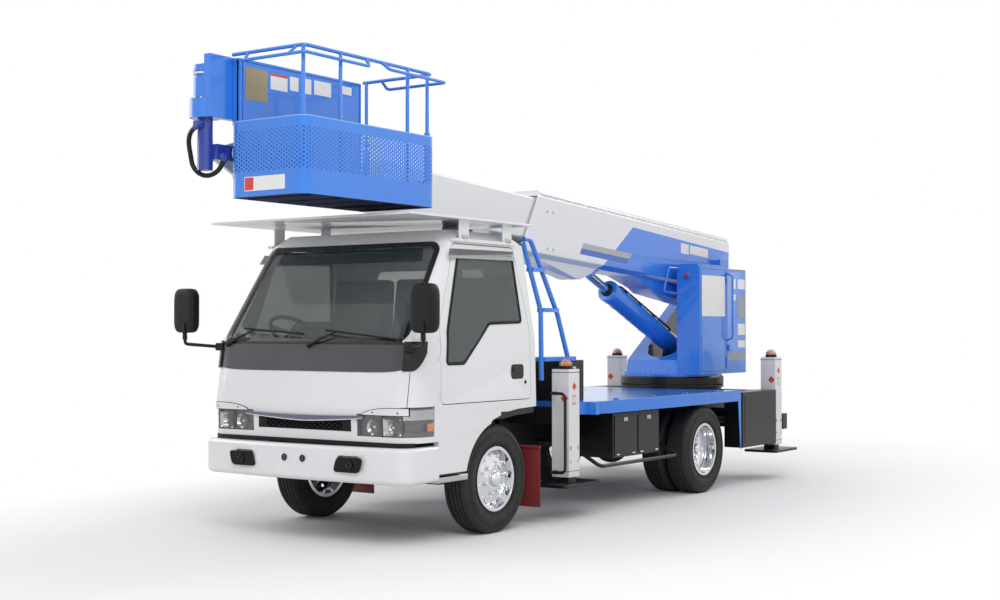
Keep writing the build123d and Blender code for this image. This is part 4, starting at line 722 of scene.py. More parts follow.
# Cab: the skin's sections repeat the part's source, so that trim lies on the skin
# each row: height, half width, front and corner radius
cabRows = [(0.430, 0.838, -0.927, 0.150), (0.836, 0.845, -0.945, 0.150), (1.235, 0.836, -0.890, 0.140),
           (1.865, 0.776, -0.475, 0.120), (1.940, 0.690, -0.385, 0.090)]
# the door window's outline, as in the part's source
windowOutline = [(-0.575, 1.100), (-0.560, 1.300), (-0.395, 1.775), (0.205, 1.790),
                 (0.255, 1.360), (-0.110, 1.350), (-0.400, 1.100)]
# each wiper's pivot, wrist and blade ends, across and up
wiperRows = [((-0.700, 1.213), (-0.500, 1.306), (-0.600, 1.318), (-0.060, 1.282)),
             ((0.005, 1.211), (0.215, 1.298), (0.110, 1.306), (0.690, 1.252))]
mirrors = {"x": 0.990, "along": -0.995, "z": 1.434, "half": (0.094, 0.038, 0.146)}
lampFacts = {"x": 0.434, "fogX": 0.450, "fogZ": 0.496, "screwZ": 0.8125}


def cabRow(z):
    for lower, upper in zip(cabRows, cabRows[1:]):
        if z <= upper[0] or upper is cabRows[-1]:
            share = (z - lower[0]) / (upper[0] - lower[0])
            return [a + share * (b - a) for a, b in zip(lower, upper)][1:]


def cabFront(x, z, out=0.0):
    # the front skin at a place across and a height, moved out by a gap
    halfWidth, nose, radius = cabRow(z)
    halfWidth, nose, radius = halfWidth + out, nose - out, radius + out
    reach = abs(x) - (halfWidth - radius)
    if reach <= 0:
        return at(x, nose, z)
    reach = min(reach, radius * 0.999)
    return at(x, nose + radius - (radius * radius - reach * reach) ** 0.5, z)


def cabCorner(angle, z, side, out=0.0):
    # a place on the front corner's curve: 0 faces forwards, 90 faces sideways, more goes back along the side
    halfWidth, nose, radius = cabRow(z)
    reach = radius + out
    if angle > 90:
        return at(side * (halfWidth + out), nose + radius + (angle - 90) * 0.0025, z)
    return at(side * (halfWidth - radius + reach * sin(radians(angle))),
              nose + radius - reach * cos(radians(angle)), z)


def cabSide(side, along, z, out):
    return at(side * (cabRow(z)[0] + out), along, z)


def frontStrip(mesh, across, up, x, width, z, height, out):
    # a plain strip on the front skin; a negative width runs to the truck's right
    draped(mesh, across, up, lambda u, v: cabFront(x + width * u, z + height * v, out))


def cornerStrip(mesh, across, up, side, angle, sweep, z, height, out):
    draped(mesh, across, up, lambda u, v: cabCorner(angle + sweep * u, z + height * v, side, out))


def eyebrows():
    # pale trim above the headlamps, and the chrome bar that dips over the grille
    for name, edge, out, finish in (("lampTrim", 0.0, 0.0065, "whitePaint"),
                                    ("lampTrimJoint", 0.0035, 0.0035, "blackPlastic")):
        build(name, "truck", finish, both(lambda side: [(draped, 20, 2, lambda u, v: cabFront(
            side * (0.478 - edge + (0.325 + 2 * edge) * u),
            0.796 - edge + v * (0.006 + 2 * edge + 0.036 * (1 - (1 - u) ** 4)), out))]), 35, 0.0015, 0.005)

    def dip(u, v):
        spread = abs(2 * u - 1)
        z = 0.766 + 0.018 * spread ** 1.5 + (v - 0.5) * (0.032 - 0.018 * spread)
        return cabFront(-0.495 + 0.99 * u, z, 0.009)
    build("chromeBar", "truck", "darkChrome", [(draped, 40, 3, dip)], 40, 0.002, 0.008)
    build("barJoint", "truck", "chrome", [(draped, 40, 1, lambda u, v: cabFront(
        -0.485 + 0.97 * u, 0.744 + 0.028 * abs(2 * u - 1) ** 1.5 + 0.010 * v, 0.0075))], 40, 0.001, 0.006)
    spots = both(lambda side: [cabFront(side * x, lampFacts["screwZ"], 0.0065) for x in (0.560, 0.745)])
    build("trimScrews", "truck", "blackPlastic",
          [(bar, spot, spot + Vector((0, -0.0035, 0)), 0.0055, 0.004, 12) for spot in spots], 30, 0.0005)


def lampInsides():
    # bowls, bulbs and dividers behind the lenses; the outer reflector is a squarish bowl
    bowls, bulbs, frames = [], [], []
    for side in (1, -1):
        for x, radius, depth in ((0.545, 0.048, 0.040), (0.690, 0.030, 0.028)):
            centre = cabFront(side * x, 0.722, -0.014)
            rows = [(-depth * (1 - (k / 8) ** 2), max(0.004, radius * k / 8)) for k in range(9)]
            bowls.append((turned, rows, centre, (0, -1, 0), 32))
            bulbs.append((turned, [(-depth + 0.003, 0.0), (-depth + 0.005, 0.008), (-0.018, 0.009),
                                   (-0.008, 0.005), (-0.006, 0.0)], centre, (0, -1, 0), 16))
        bowls.append((draped, 12, 12, lambda u, v, side=side: cabFront(
            side * (0.627 + 0.126 * u), 0.674 + 0.100 * v,
            -0.010 - 0.026 * (1 - (2 * u - 1) ** 4) * (1 - (2 * v - 1) ** 4))))
        for x in (0.438, 0.614, 0.762):
            spot = cabFront(side * x, 0.73, -0.005)
            frames.append((slab, spot + Vector((-0.005, 0, -0.066)), spot + Vector((0.005, 0.024, 0.066))))
    build("lampBowls", "truck", "lampSilver", bowls, 50)
    build("lampBulbs", "truck", "labelWhite", bulbs, 50)
    build("lampFrames", "truck", "blackPlastic", frames, 35, 0.001)
    # amber indicator behind the corner lamp's lens, its reflector, and the dark back of each pocket
    build("indicators", "truck", "amberLens",
          both(lambda side: [(cornerStrip, 8, 2, side, 98, 28, 0.697, 0.048, -0.004)]), 40, 0.001, 0.004)
    build("cornerReflectors", "truck", "lampSilver", both(lambda side: [
        (draped, 10, 3, lambda u, v: cabCorner(31 + 95 * u, 0.766 + 0.062 * v, side,
                                               -0.008 - 0.012 * (1 - (2 * u - 1) ** 4)))]), 40, 0.001, 0.003)
    build("cornerDividers", "truck", "lampGrey",
          both(lambda side: [(cornerStrip, 10, 2, side, 31, 95, 0.752, 0.010, -0.005),
                             (cornerStrip, 10, 2, side, 31, 95, 0.646, 0.048, -0.006)]), 40, 0.001, 0.004)
    build("lampBacks", "truck", "lampGrey",
          both(lambda side: [(cornerStrip, 8, 2, side, 30, 98, 0.645, 0.190, -0.022),
                             (frontStrip, 8, 2, side * lampFacts["x"], side * 0.33, 0.655, 0.145, -0.030)]),
          40, 0.0, 0.003)


def cowlCover():
    # the smooth grey panel below the windscreen, and the black blocks that carry the mirror arms
    def cover(u, v):
        turnUp = 0.030 * abs(2 * u - 1) ** 10
        return cabFront(-0.800 + 1.600 * u, 1.052 + turnUp + v * (0.166 - turnUp), 0.0045)

    def block(side, u, v):
        cut = 0.110 * max(0.0, u - 0.35) ** 2 / 0.4225
        return cabCorner(22 + 60 * u, 1.060 + cut + v * (0.178 - cut), side, 0.0085)
    build("cowlCover", "truck", "cowlPlastic", [(draped, 60, 8, cover)], 45, 0.001, 0.003)
    build("cornerBlocks", "truck", "glossBlack",
          both(lambda side: [(draped, 14, 8, lambda u, v: block(side, u, v))]), 45, 0.002, 0.008)


def wipers():
    arms, blades = [], []
    steps = 10
    for pivot, wrist, first, last in wiperRows:
        arms.append((turned, [(0, 0.0), (0, 0.019), (0.014, 0.017), (0.020, 0.010), (0.020, 0.0)],
                     cabFront(*pivot, 0.002), (0, -0.93, 0.37), 20))
        elbow = ((pivot[0] + wrist[0]) / 2, (pivot[1] + wrist[1]) / 2)
        places = [cabFront(*pivot, 0.018), cabFront(*elbow, 0.030), cabFront(*wrist, 0.030)]
        for start, end, radius in zip(places, places[1:], (0.010, 0.007)):
            arms.append((bar, start, end, radius, radius * 0.8, 10))
        spots = [cabFront(first[0] + (last[0] - first[0]) * k / steps,
                          first[1] + (last[1] - first[1]) * k / steps, 0.020) for k in range(steps + 1)]
        arms.append((bar, places[-1], spots[steps // 2], 0.006, None, 10))
        blades += [(bar, start, end, 0.006, None, 8) for start, end in zip(spots, spots[1:])]
        for share in (0.12, 0.38, 0.62, 0.88):
            spot = spots[round(share * steps)]
            blades.append((bar, spot, spot + Vector((0, -0.007, 0.004)), 0.005, None, 8))
        lips = [spot + Vector((0, 0.006, -0.003)) for spot in spots]
        blades += [(bar, start, end, 0.0035, None, 6) for start, end in zip(lips, lips[1:])]
    build("wiperArms", "truck", "blackPlastic", arms, 40, 0.0008)
    build("wiperBlades", "truck", "rubberTrim", blades, 40)


def fogSurround(mesh, side):
    # a skewed surround closes each recess
    count = len(mesh.verts)
    x = side * 0.437
    slab(mesh, at(x - 0.102, -1.0365, 0.451), at(x + 0.102, -1.0300, 0.541), 0.026, 1, 5)
    for z in (0.461, 0.523):
        slab(mesh, at(x - 0.088, -1.0378, z), at(x + 0.088, -1.0370, z + 0.008), 0.003, 1, 2)
    mesh.verts.ensure_lookup_table()
    for vert in mesh.verts[count:]:
        vert.co.x += side * (vert.co.z - lampFacts["fogZ"]) * 0.30


def frontDetails():
    # dark joint above the bumper, fog lamps in their recesses and rims in the plate holes
    build("bumperJoint", "truck", "blackPlastic", [(frontStrip, 36, 1, -0.815, 1.63, 0.606, 0.026, -0.004)],
          35, 0.0, 0.012)
    x, z = lampFacts["fogX"], lampFacts["fogZ"]
    build("fogLamps", "truck", "grilleBlack", both(lambda side: [
        (fogSurround, side),
        (turned, [(0.0, 0.030), (0.012, 0.030), (0.014, 0.026), (0.006, 0.022), (0.004, 0.0)],
         at(side * x, -1.0325, z), (0, -1, 0), 28)]), 40, 0.001)
    build("fogGlass", "truck", "visorPlastic", both(lambda side: [
        (turned, [(0.0, 0.0), (0.001, 0.0225), (0.006, 0.0235), (0.008, 0.0195), (0.003, 0.0165),
                  (0.002, 0.0)], at(side * x, -1.0345, z), (0, -1, 0), 28)]), 40, slot="lamp_glass")
    parts = []
    for x in (-0.075, 0.075):
        parts += [(turned, [(0.0, 0.0125), (0.0, 0.0205), (-0.004, 0.022), (-0.006, 0.0195),
                            (-0.006, 0.0125)], at(x, -1.0345, 0.520), (0, 1, 0), 28, True),
                  (turned, [(0.030, 0.0), (0.030, 0.019), (0.033, 0.019), (0.033, 0.0)], at(x, -1.033, 0.520),
                   (0, 1, 0), 24)]
    build("plateHoleRims", "truck", "blackPlastic", parts, 40)


def doorDetails(side, body):
    # smoked wind visor over the window, handle housing, the window's rubber seal, and the lock
    def visor(u, v):
        return cabSide(side, -0.475 + 0.70 * u - 0.03 * (1 - v) * (1 - u) ** 6, 1.752 + 0.062 * v + 0.010 * u,
                       0.0045 + 0.013 * (1 - v) ** 1.6)

    def pad(along, z, out, half, edge, segments):
        spot = cabSide(side, along, z, out)
        return slab, spot - Vector(half), spot + Vector(half), edge, 0, segments
    build("visor_" + body, body, "visorPlastic", [(draped, 20, 4, visor)], 40, 0.001, 0.003)
    build("handle_" + body, body, "glossBlack",
          [pad(0.200, 1.035, -0.0205, (0.0012, 0.0635, 0.0425), 0.023, 6),
           pad(0.192, 1.035, 0.0008, (0.0015, 0.072, 0.048), 0.026, 6),
           pad(0.192, 1.050, 0.0040, (0.0040, 0.0525, 0.0145), 0.010, 5)], 35, 0.0008)
    outline = [cabSide(side, along, z, -0.001) for along, z in windowOutline]
    joint = (outline[0] + outline[-1]) / 2
    splineRod("seal_" + body, eased([joint] + outline + [joint], 0.045), 0.0105, body, "rubberTrim")
    build("lock_" + body, body, "blackPlastic",
          [(turned, [(0.0, 0.0), (0.0, 0.0125), (0.003, 0.0115), (0.0035, 0.004), (0.002, 0.0)],
            cabSide(side, 0.285, 0.964, 0.0), (side, 0, 0), 20)], 40)


def mirrorHousing(mesh, side):
    # a ball pressed towards a box
    centre, half = at(side * mirrors["x"], mirrors["along"], mirrors["z"]), mirrors["half"]
    for vert in bmesh.ops.create_uvsphere(mesh, u_segments=48, v_segments=32, radius=1.0)["verts"]:
        boxed = [abs(part) ** 0.42 * (1 if part > 0 else -1) for part in vert.co]
        length = sum(abs(part) ** 4.8 for part in boxed) ** (1 / 4.8)
        vert.co = centre + Vector([reach * part / length for reach, part in zip(half, boxed)])


def mirrorsAndRoof():
    x = mirrors["x"]
    build("mirrorHousings", "truck", "blackPlastic", both(lambda side: [
        (mirrorHousing, side),
        (slab, at(side * x - 0.026, -1.038, 1.296), at(side * x + 0.026, -1.020, 1.356), 0.008, 1, 4)]),
        60, replaces=["mirrors"])
    for side, name in ((1, "mirrorArmLeft"), (-1, "mirrorArmRight")):
        splineRod(name, eased([at(side * x, -1.015, 1.330), at(side * x, -1.005, 1.215),
                               at(side * 0.790, -0.872, 1.196)], 0.04), 0.011, "truck", "blackPlastic")
    build("mirrorJoints", "truck", "blackPlastic", both(lambda side: [
        (bar, at(side * x, -1.008, 1.245), at(side * x, -1.010, 1.300), 0.016, 0.014, 16),
        (slab, at(side * 0.790 - 0.030, -0.900, 1.172), at(side * 0.790 + 0.030, -0.850, 1.222),
         0.010, 0, 4)]), 40, 0.002)
    build("mirrorGlass", "truck", "chrome", both(lambda side: [
        (slab, at(side * x - 0.078, -0.9590, 1.312), at(side * x + 0.078, -0.9560, 1.556), 0.030, 1, 5)]))
    clamps = []
    for side in (1, -1):
        for along in (-0.33, 0.15):
            clamps.append((slab, at(side * 0.786 - 0.010, along - 0.028, 1.864),
                           at(side * 0.786 + 0.014, along + 0.028, 1.905)))
            clamps += [(bar, at(side * 0.800, along + off, 1.886), at(side * 0.808, along + off, 1.886),
                        0.006, None, 6) for off in (-0.016, 0.016)]
    build("gutterClamps", "truck", "zincPlate", clamps, 35, 0.0015)
    # panel joints of the cab's front, step bars under the sills, and the tinted band at the windscreen's top
    build("panelJoints", "truck", "blackPlastic", both(lambda side: [
        (frontStrip, 1, 12, side * 0.790, side * 0.003, 0.846, 0.206, 0.0005),
        (cornerStrip, 24, 1, side, 34, 90, 0.842, 0.003, 0.0005)]), 30, 0.0, 0.0008)
    build("stepBars", "truck", "zincPlate", both(lambda side: [
        (slab, at(side * 0.790 - 0.030, -0.640, 0.372), at(side * 0.790 + 0.030, -0.330, 0.412),
         0.008, 1, 3)] + [
        (slab, at(side * 0.775 - 0.012, along - 0.015, 0.400), at(side * 0.775 + 0.012, along + 0.015, 0.440))
        for along in (-0.60, -0.37)]), 35, 0.002)
    build("tintBand", "truck", "tintPlastic", [(draped, 36, 4, lambda u, v: cabFront(
        (-0.62 + 1.24 * u) * (1 - 0.05 * v), 1.735 + 0.085 * v, -0.016))], 40, 0.0, 0.0015)


eyebrows()
lampInsides()
cowlCover()
wipers()
frontDetails()
doorDetails(1, "door_left")
doorDetails(-1, "door_right")
mirrorsAndRoof()
print("cab details made")


# Wheels: grooved tyres, and the covers, nuts and rings of the discs
wheel = {"rim": 0.1963, "bead": 0.0747, "flange": 0.212, "half": 0.095, "groove": 0.007,
         "grooves": (-0.045, -0.0155, 0.0155, 0.045), "front": (0.0, 0.720), "rearOuter": (2.850, 0.785),
         "rearInner": (2.850, 0.565)}


def tyre(side, name, body, places):
    top, half, bead = tyreRadius, wheel["half"], wheel["bead"]
    wall = [(-bead, wheel["rim"]), (-bead, wheel["flange"]), (-half + 0.004, 0.238), (-half, 0.262),
            (-half + 0.001, 0.295), (-half + 0.006, top - 0.022), (-half + 0.016, top - 0.008),
            (-half + 0.028, top - 0.001)]
    rows = list(wall)
    for groove in wheel["grooves"]:
        rows += [(groove - 0.0048, top), (groove - 0.0036, top - wheel["groove"]),
                 (groove + 0.0036, top - wheel["groove"]), (groove + 0.0048, top)]
    rows += [(-reach, radius) for reach, radius in reversed(wall)]
    centres = [at(side * x, along, tyreRadius) for along, x in places]
    build(name + "Finished", body, "tyreRubber",
          [(turned, rows, centre, (1, 0, 0), 96, True) for centre in centres], 32, replaces=[name])
    # side ribs moulded into the outer wall
    ribs = []
    for centre in centres:
        for radius, face in ((0.222, half - 0.0035), (0.284, half), (0.302, half)):
            ribs.append((turned, [(face - 0.004, radius - 0.0022), (face + 0.0012, radius - 0.001),
                                  (face + 0.0012, radius + 0.001), (face - 0.004, radius + 0.0022)],
                         centre, (side, 0, 0), 96, True))
    build(name + "Ribs", body, "tyreRubber", ribs, 40)


def roundHub(centre, radius, count, start=0.0):
    # places on a circle round a wheel's axis
    angles = [k * 2 * pi / count + start for k in range(count)]
    return [centre + Vector((0, cos(angle) * radius, sin(angle) * radius)) for angle in angles]


def frontCover(side, body):
    # domed cover over the hub, on the disc's raised middle, with its nuts and their seats
    centre, out = at(side * wheel["front"][1], wheel["front"][0], tyreRadius), (side, 0, 0)
    parts = [(turned, [(0.066, 0.0), (0.112, 0.0), (0.111, 0.020), (0.105, 0.036), (0.092, 0.047),
                       (0.074, 0.052), (0.066, 0.052)], centre, out, 56)]
    for spot in roundHub(centre, 0.094, 6, 0.26):
        foot, tip = (spot + Vector((side * reach, 0, 0)) for reach in (0.050, 0.078))
        parts += [(bar, foot, tip, 0.0135, 0.0125, 6),
                  (turned, [(0.076, 0.0), (0.084, 0.0), (0.084, 0.006), (0.080, 0.0095), (0.076, 0.010)],
                   spot, out, 16),
                  (turned, [(0.054, 0.017), (0.062, 0.0195), (0.064, 0.022), (0.054, 0.024)],
                   spot, out, 20, True)]
    build("hubCover_" + body, body, "chrome", parts, 35, 0.0008)
    build("slotRims_" + body, body, "chrome", [
        (turned, [(0.046, 0.0108), (0.058, 0.0112), (0.060, 0.0128), (0.058, 0.0142), (0.046, 0.0142)],
         spot, out, 16, True) for spot in roundHub(centre, 0.158, 12, 0.13)], 40)
    build("rimRing_" + body, body, "chrome", [
        (turned, [(0.081, 0.2095), (0.084, 0.2085), (0.0855, 0.204), (0.084, 0.199), (0.070, 0.1965),
                  (0.050, 0.1905), (0.040, 0.1885), (0.046, 0.1860), (0.078, 0.1945)],
         centre, out, 96, True)], 40)


def rearDish(side, body):
    centre, out = at(side * wheel["rearOuter"][1], wheel["rearOuter"][0], tyreRadius), (side, 0, 0)
    parts = [(turned, [(-0.046, 0.0), (0.036, 0.0), (0.036, 0.024), (0.030, 0.040), (0.010, 0.046),
                       (-0.020, 0.050), (-0.044, 0.058)], centre, out, 48)]
    for spot in roundHub(centre, 0.080, 6):
        foot, step, tip = (spot + Vector((side * reach, 0, 0)) for reach in (-0.043, -0.014, -0.004))
        parts += [(bar, foot, step, 0.0145, 0.0135, 6), (bar, step, tip, 0.0095, 0.0085, 12)]
    build("hubCap_" + body, body, "chrome", parts, 35, 0.0012)
    build("rimRing_" + body, body, "chrome", [
        (turned, [(0.081, 0.2095), (0.084, 0.2085), (0.0855, 0.204), (0.084, 0.199), (0.060, 0.1925),
                  (0.006, 0.1885), (0.000, 0.1870), (0.004, 0.1850), (0.062, 0.1895), (0.080, 0.1945)],
         centre, out, 96, True)], 40)
    build("dishHoleRims_" + body, body, "chrome", [
        (turned, [(-0.024, 0.0238), (-0.018, 0.0240), (-0.015, 0.0265), (-0.018, 0.0290), (-0.026, 0.0290)],
         spot, out, 24, True) for spot in roundHub(centre, 0.130, 6)], 40)


for side, label in ((1, "left"), (-1, "right")):
    tyre(side, f"front_{label}_tyre", f"wheel_front_{label}", [wheel["front"]])
    tyre(side, f"rear_{label}_tyres", f"wheels_rear_{label}", [wheel["rearOuter"], wheel["rearInner"]])
    frontCover(side, f"wheel_front_{label}")
    rearDish(side, f"wheels_rear_{label}")
print("wheels made")


# Superstructure: labels, button, cylinder gland and pipe, covers and bolts
turret = {"outer": 0.450, "rearOuter": 0.440, "front": 3.610, "step": 4.120, "ring": 3.945, "gap": 0.0002}
lift = {"low": at(0, 4.050, 1.130), "high": at(0, 2.420, 1.790), "rod": 0.410}
boom = {"slope": -tan(radians(3.5)), "plate": 0.1603, "plateBottom": 1.992, "coverTop": 2.372,
        "plates": ((3.812, 3.964, 2.083), (3.992, 4.350, 2.070)), "coverFrom": 1.545, "coverTo": 4.775}
head = {"x": -0.026, "along": -1.760, "flange": 2.640, "seal": 2.785, "cap": 2.800, "top": 2.8395}


def cabinetDetails():
    outer, rearOuter = turret["outer"] + turret["gap"], turret["rearOuter"] + turret["gap"]
    plates("instructionSheet", "superstructure", "labelWhite", 0, outer, [(3.645, 4.100, 1.428, 1.785)])
    plates("cabinetLabels", "superstructure", "labelWhite", 0, rearOuter,
           [(4.385, 4.535, 1.680, 1.770), (4.385, 4.535, 1.262, 1.364), (4.385, 4.535, 1.148, 1.212),
            (4.285, 4.345, 1.680, 1.770), (4.285, 4.345, 1.575, 1.630)])
    plates("cabinetGreyLabels", "superstructure", "labelGrey", 0, rearOuter,
           [(4.385, 4.535, 1.418, 1.620), (4.180, 4.535, 1.036, 1.103)])
    spot = at(0.329, turret["front"], 1.781)
    build("buttonPlate", "superstructure", "bluePaint",
          [(turned, [(0.0, 0.0), (0.0, 0.030), (0.004, 0.030), (0.005, 0.026), (0.008, 0.024), (0.008, 0.0)],
            spot, (0, -1, 0), 32)], 35, 0.0006)
    build("stopButton", "superstructure", "redPlastic",
          [(turned, [(0.007, 0.0), (0.007, 0.016), (0.018, 0.017), (0.027, 0.020), (0.033, 0.016),
                     (0.035, 0.0)], spot, (0, -1, 0), 32)], 45)
    build("rearBoxTrim", "superstructure", "redPlastic",
          [(slab, at(0.226, 4.14, 1.8495), at(0.4405, 4.5545, 1.8575))], 35, 0.002)
    # hinges and latches of the cabinet, and its door seams
    x, along = outer - 0.004, turret["step"] + 0.018
    parts = [(bar, at(x, along, z - 0.045), at(x, along, z + 0.045), 0.008, None, 12) for z in (1.02, 1.76)]
    parts += [(slab, at(rearOuter - 0.001, along - 0.022, z - 0.028),
               at(outer + 0.004, along + 0.022, z + 0.028), 0.008, 0, 3)
              for along, z in ((3.66, 1.22), (4.20, 1.15))]
    build("cabinetFittings", "superstructure", "bluePaint", parts, 35, 0.0015)
    seams = ((3.6325, 3.6375, 0.945, 1.845), (4.1045, 4.1095, 0.945, 1.845), (3.6325, 4.1095, 0.943, 0.948),
             (3.6325, 4.1095, 1.842, 1.847))
    parts = [(slab, at(outer - 0.0004, a, c), at(outer + 0.0016, b, d)) for a, b, c, d in seams]
    parts.append((slab, at(rearOuter - 0.0004, 4.165, 0.960), at(rearOuter + 0.0014, 4.169, 1.830)))
    build("cabinetSeams", "superstructure", "navyPaint", parts, 30)
    steps = 48
    spots = [at(0.418 * cos(2 * pi * k / steps), turret["ring"] + 0.418 * sin(2 * pi * k / steps), 0.9185)
             for k in range(steps)]
    build("ringBolts", "superstructure", "bluePaint",
          [(bar, spot, spot + Vector((0, 0, 0.011)), 0.0095, 0.009, 6) for spot in spots
           if spot.y < axleY + 3.60 or spot.x < -0.29], 30, 0.0006)


def ringTeeth():
    # the slewing ring's gear teeth show in its groove
    teeth, radius = 96, 0.4465
    feet = [at(0, turret["ring"], 0.819) + Vector((cos(angle), sin(angle), 0)) * radius
            for angle in (2 * pi * k / teeth for k in range(teeth))]
    build("ringTeeth", "truck", "runningGear",
          [(bar, foot, foot + Vector((0, 0, 0.011)), 0.0085, None, 6) for foot in feet], 30)


def liftDetails():
    # the head and gland on the barrel's end, and the oil pipe with its clamps on the barrel's left shoulder
    run = (lift["high"] - lift["low"]).normalized()
    rise = Vector((0, -run.z, run.y))
    rise = -rise if rise.z < 0 else rise
    reach = (lift["high"] - lift["low"]).length - lift["rod"]
    pipeSide = (rise * 0.62 + Vector((1, 0, 0)) * 0.785).normalized()
    end = lift["low"] + run * reach
    build("cylinderHead", "lift_cylinder", "bluePaint",
          [(turned, [(-0.070, 0.088), (-0.070, 0.093), (-0.004, 0.0935), (0.004, 0.088), (0.010, 0.060),
                     (0.010, 0.0366), (0.0, 0.0366)], end, run, 48, True)], 40, 0.001)
    build("cylinderGland", "lift_cylinder", "blackPlastic",
          [(turned, [(0.009, 0.0366), (0.009, 0.056), (0.020, 0.054), (0.026, 0.046), (0.027, 0.0366)],
            end, run, 40, True)], 40, 0.001)
    pipe = ((0.045, 0.088), (0.060, 0.100), (0.110, 0.102), (0.200, 0.102), (reach - 0.45, 0.102),
            (reach - 0.37, 0.102), (reach - 0.33, 0.096), (reach - 0.32, 0.086))
    splineRod("oilPipe", [end - run * back + pipeSide * out for back, out in pipe], 0.009, "lift_cylinder",
              "blackPlastic")
    parts, half = [], Vector((0.014, 0.012, 0.014))
    for share in (0.16, 0.45, 0.74):
        spot = end - run * (0.05 + share * (reach - 0.45))
        grip = spot + pipeSide * 0.096
        parts += [(turned, [(-0.010, 0.0875), (-0.010, 0.0905), (0.010, 0.0905), (0.010, 0.0875)],
                   spot, run, 48, True), (slab, grip - half, grip + half)]
    build("pipeClamps", "lift_cylinder", "bluePaint", parts, 35, 0.001)


def boomDetails():
    # blank plates drawn along the boom's slope, slide-pad bolts and the top cover's edges
    sheets, bolts, seams = [], [], []
    for side in (1, -1):
        for low, high, top in boom["plates"]:
            def place(u, v, low=low, high=high, top=top, x=side * boom["plate"]):
                shift = u * (high - low)
                z = boom["plateBottom"] + v * (top - boom["plateBottom"]) + shift * boom["slope"]
                return at(x, low + shift, z)
            sheets.append((draped, 1, 1, place))
        for along, z in ((1.62, 2.215), (1.62, 1.93), (1.70, 2.212), (1.70, 1.925), (4.66, 1.98),
                         (4.66, 1.80)):
            bolts.append((bar, at(side * 0.1595, along, z), at(side * 0.1655, along, z), 0.011, 0.0095, 6))
        for x, drop in ((0.1535, 0.028), (0.157, 0.041)):
            z, run = boom["coverTop"] - drop, boom["coverTo"] - boom["coverFrom"]
            seams.append((bar, at(side * x, boom["coverFrom"], z),
                          at(side * x, boom["coverTo"], z + run * boom["slope"]), 0.0028, None, 8))
    build("boomPlates", "boom", "labelWhite", sheets, 30, 0.0, 0.0008)
    build("slidePadBolts", "boom", "zincPlate", bolts, 30, 0.0006)
    build("coverSeams", "boom", "whitePaint", seams, 40)


def tipDetails():
    # bolts round the swing head's flange, its cap and its seal ring
    def centre(level):
        return at(head["x"], head["along"], head[level])
    up = (0, 0, 1)
    angles = [k * pi / 6 for k in range(12)]
    spots = [centre("flange") + Vector((0.079 * cos(angle), 0.079 * sin(angle), 0)) for angle in angles]
    build("headBolts", "basket", "zincPlate", [(bar, spot, spot + Vector((0, 0, 0.009)), 0.008, 0.0075, 6)
                                               for spot in spots if spot.x < 0.02], 30, 0.0005)
    build("headCap", "basket", "bluePaint", [
        (turned, [(0.0, 0.0655), (0.0, 0.070), (0.016, 0.070), (0.018, 0.0655)], centre("cap"), up, 40, True),
        (turned, [(0.0, 0.0), (0.0, 0.030), (0.010, 0.028), (0.014, 0.0)], centre("top"), up, 32)], 40, 0.001)
    build("headSeal", "basket", "labelWhite", [
        (turned, [(0.0, 0.0655), (0.0, 0.0715), (0.010, 0.0715), (0.010, 0.0655)],
         centre("seal"), up, 40, True)], 40, 0.001)


cabinetDetails()
ringTeeth()
liftDetails()
boomDetails()
tipDetails()
print("superstructure details made")


# Body: beacons, reflectors, deck edge, boxes and lamps
jacks = {"x": 0.790, "half": 0.070, "frontTop": (0.870, 1.036), "rearTop": (4.330, 1.066)}
beacon = {"guard": 0.0495, "guardRise": 0.0455, "wire": 0.0018, "dome": 0.0425, "domeRise": 0.030}
posts = [(side, *jacks[end]) for side in (1, -1) for end in ("frontTop", "rearTop")]


def beaconPieces():
    domes, bases, guards = [], [], []
    up = (0, 0, 1)
    for side, along, top in posts:
        foot = at(side * jacks["x"], along, top + 0.0003)
        bases.append((turned, [(0.0, 0.0), (0.0, 0.052), (0.006, 0.052), (0.010, 0.049), (0.022, 0.048),
                               (0.022, 0.0)], foot, up, 40))
        rows = [(0.020, 0.0), (0.020, 0.042), (0.034, beacon["dome"])]
        rows += [(0.034 + beacon["domeRise"] * sin(angle), beacon["dome"] * cos(angle))
                 for angle in (0.4, 0.75, 1.05, 1.3, 1.5)]
        domes.append((turned, rows + [(0.0642, 0.0)], foot, up, 36))
        for across in (Vector((1, 0, 0)), Vector((0, 1, 0))):
            spots = [foot + across * beacon["guard"] * cos(pi * k / 12)
                     + Vector((0, 0, 0.022 + beacon["guardRise"] * sin(pi * k / 12))) for k in range(13)]
            guards += [(bar, start, end, beacon["wire"], None, 6) for start, end in zip(spots, spots[1:])]
        guards.append((turned, [(0.0395, 0.0458), (0.0430, 0.0458), (0.0430, 0.0490), (0.0395, 0.0490)],
                       foot, up, 32, True))
    build("beaconDomes", "truck", "amberLens", domes, 50, replaces=["beacons"])
    build("beaconBases", "truck", "blackPlastic", bases, 40, 0.0008)
    build("beaconGuards", "truck", "chrome", guards, 50)


def diamond(mesh, spot, size, axis):
    verts = bmesh.ops.create_cube(mesh, size=1.0)["verts"]
    bmesh.ops.scale(mesh, vec=size, verts=verts)
    bmesh.ops.rotate(mesh, cent=(0, 0, 0), matrix=Matrix.Rotation(pi / 4, 3, axis), verts=verts)
    bmesh.ops.translate(mesh, vec=spot, verts=verts)


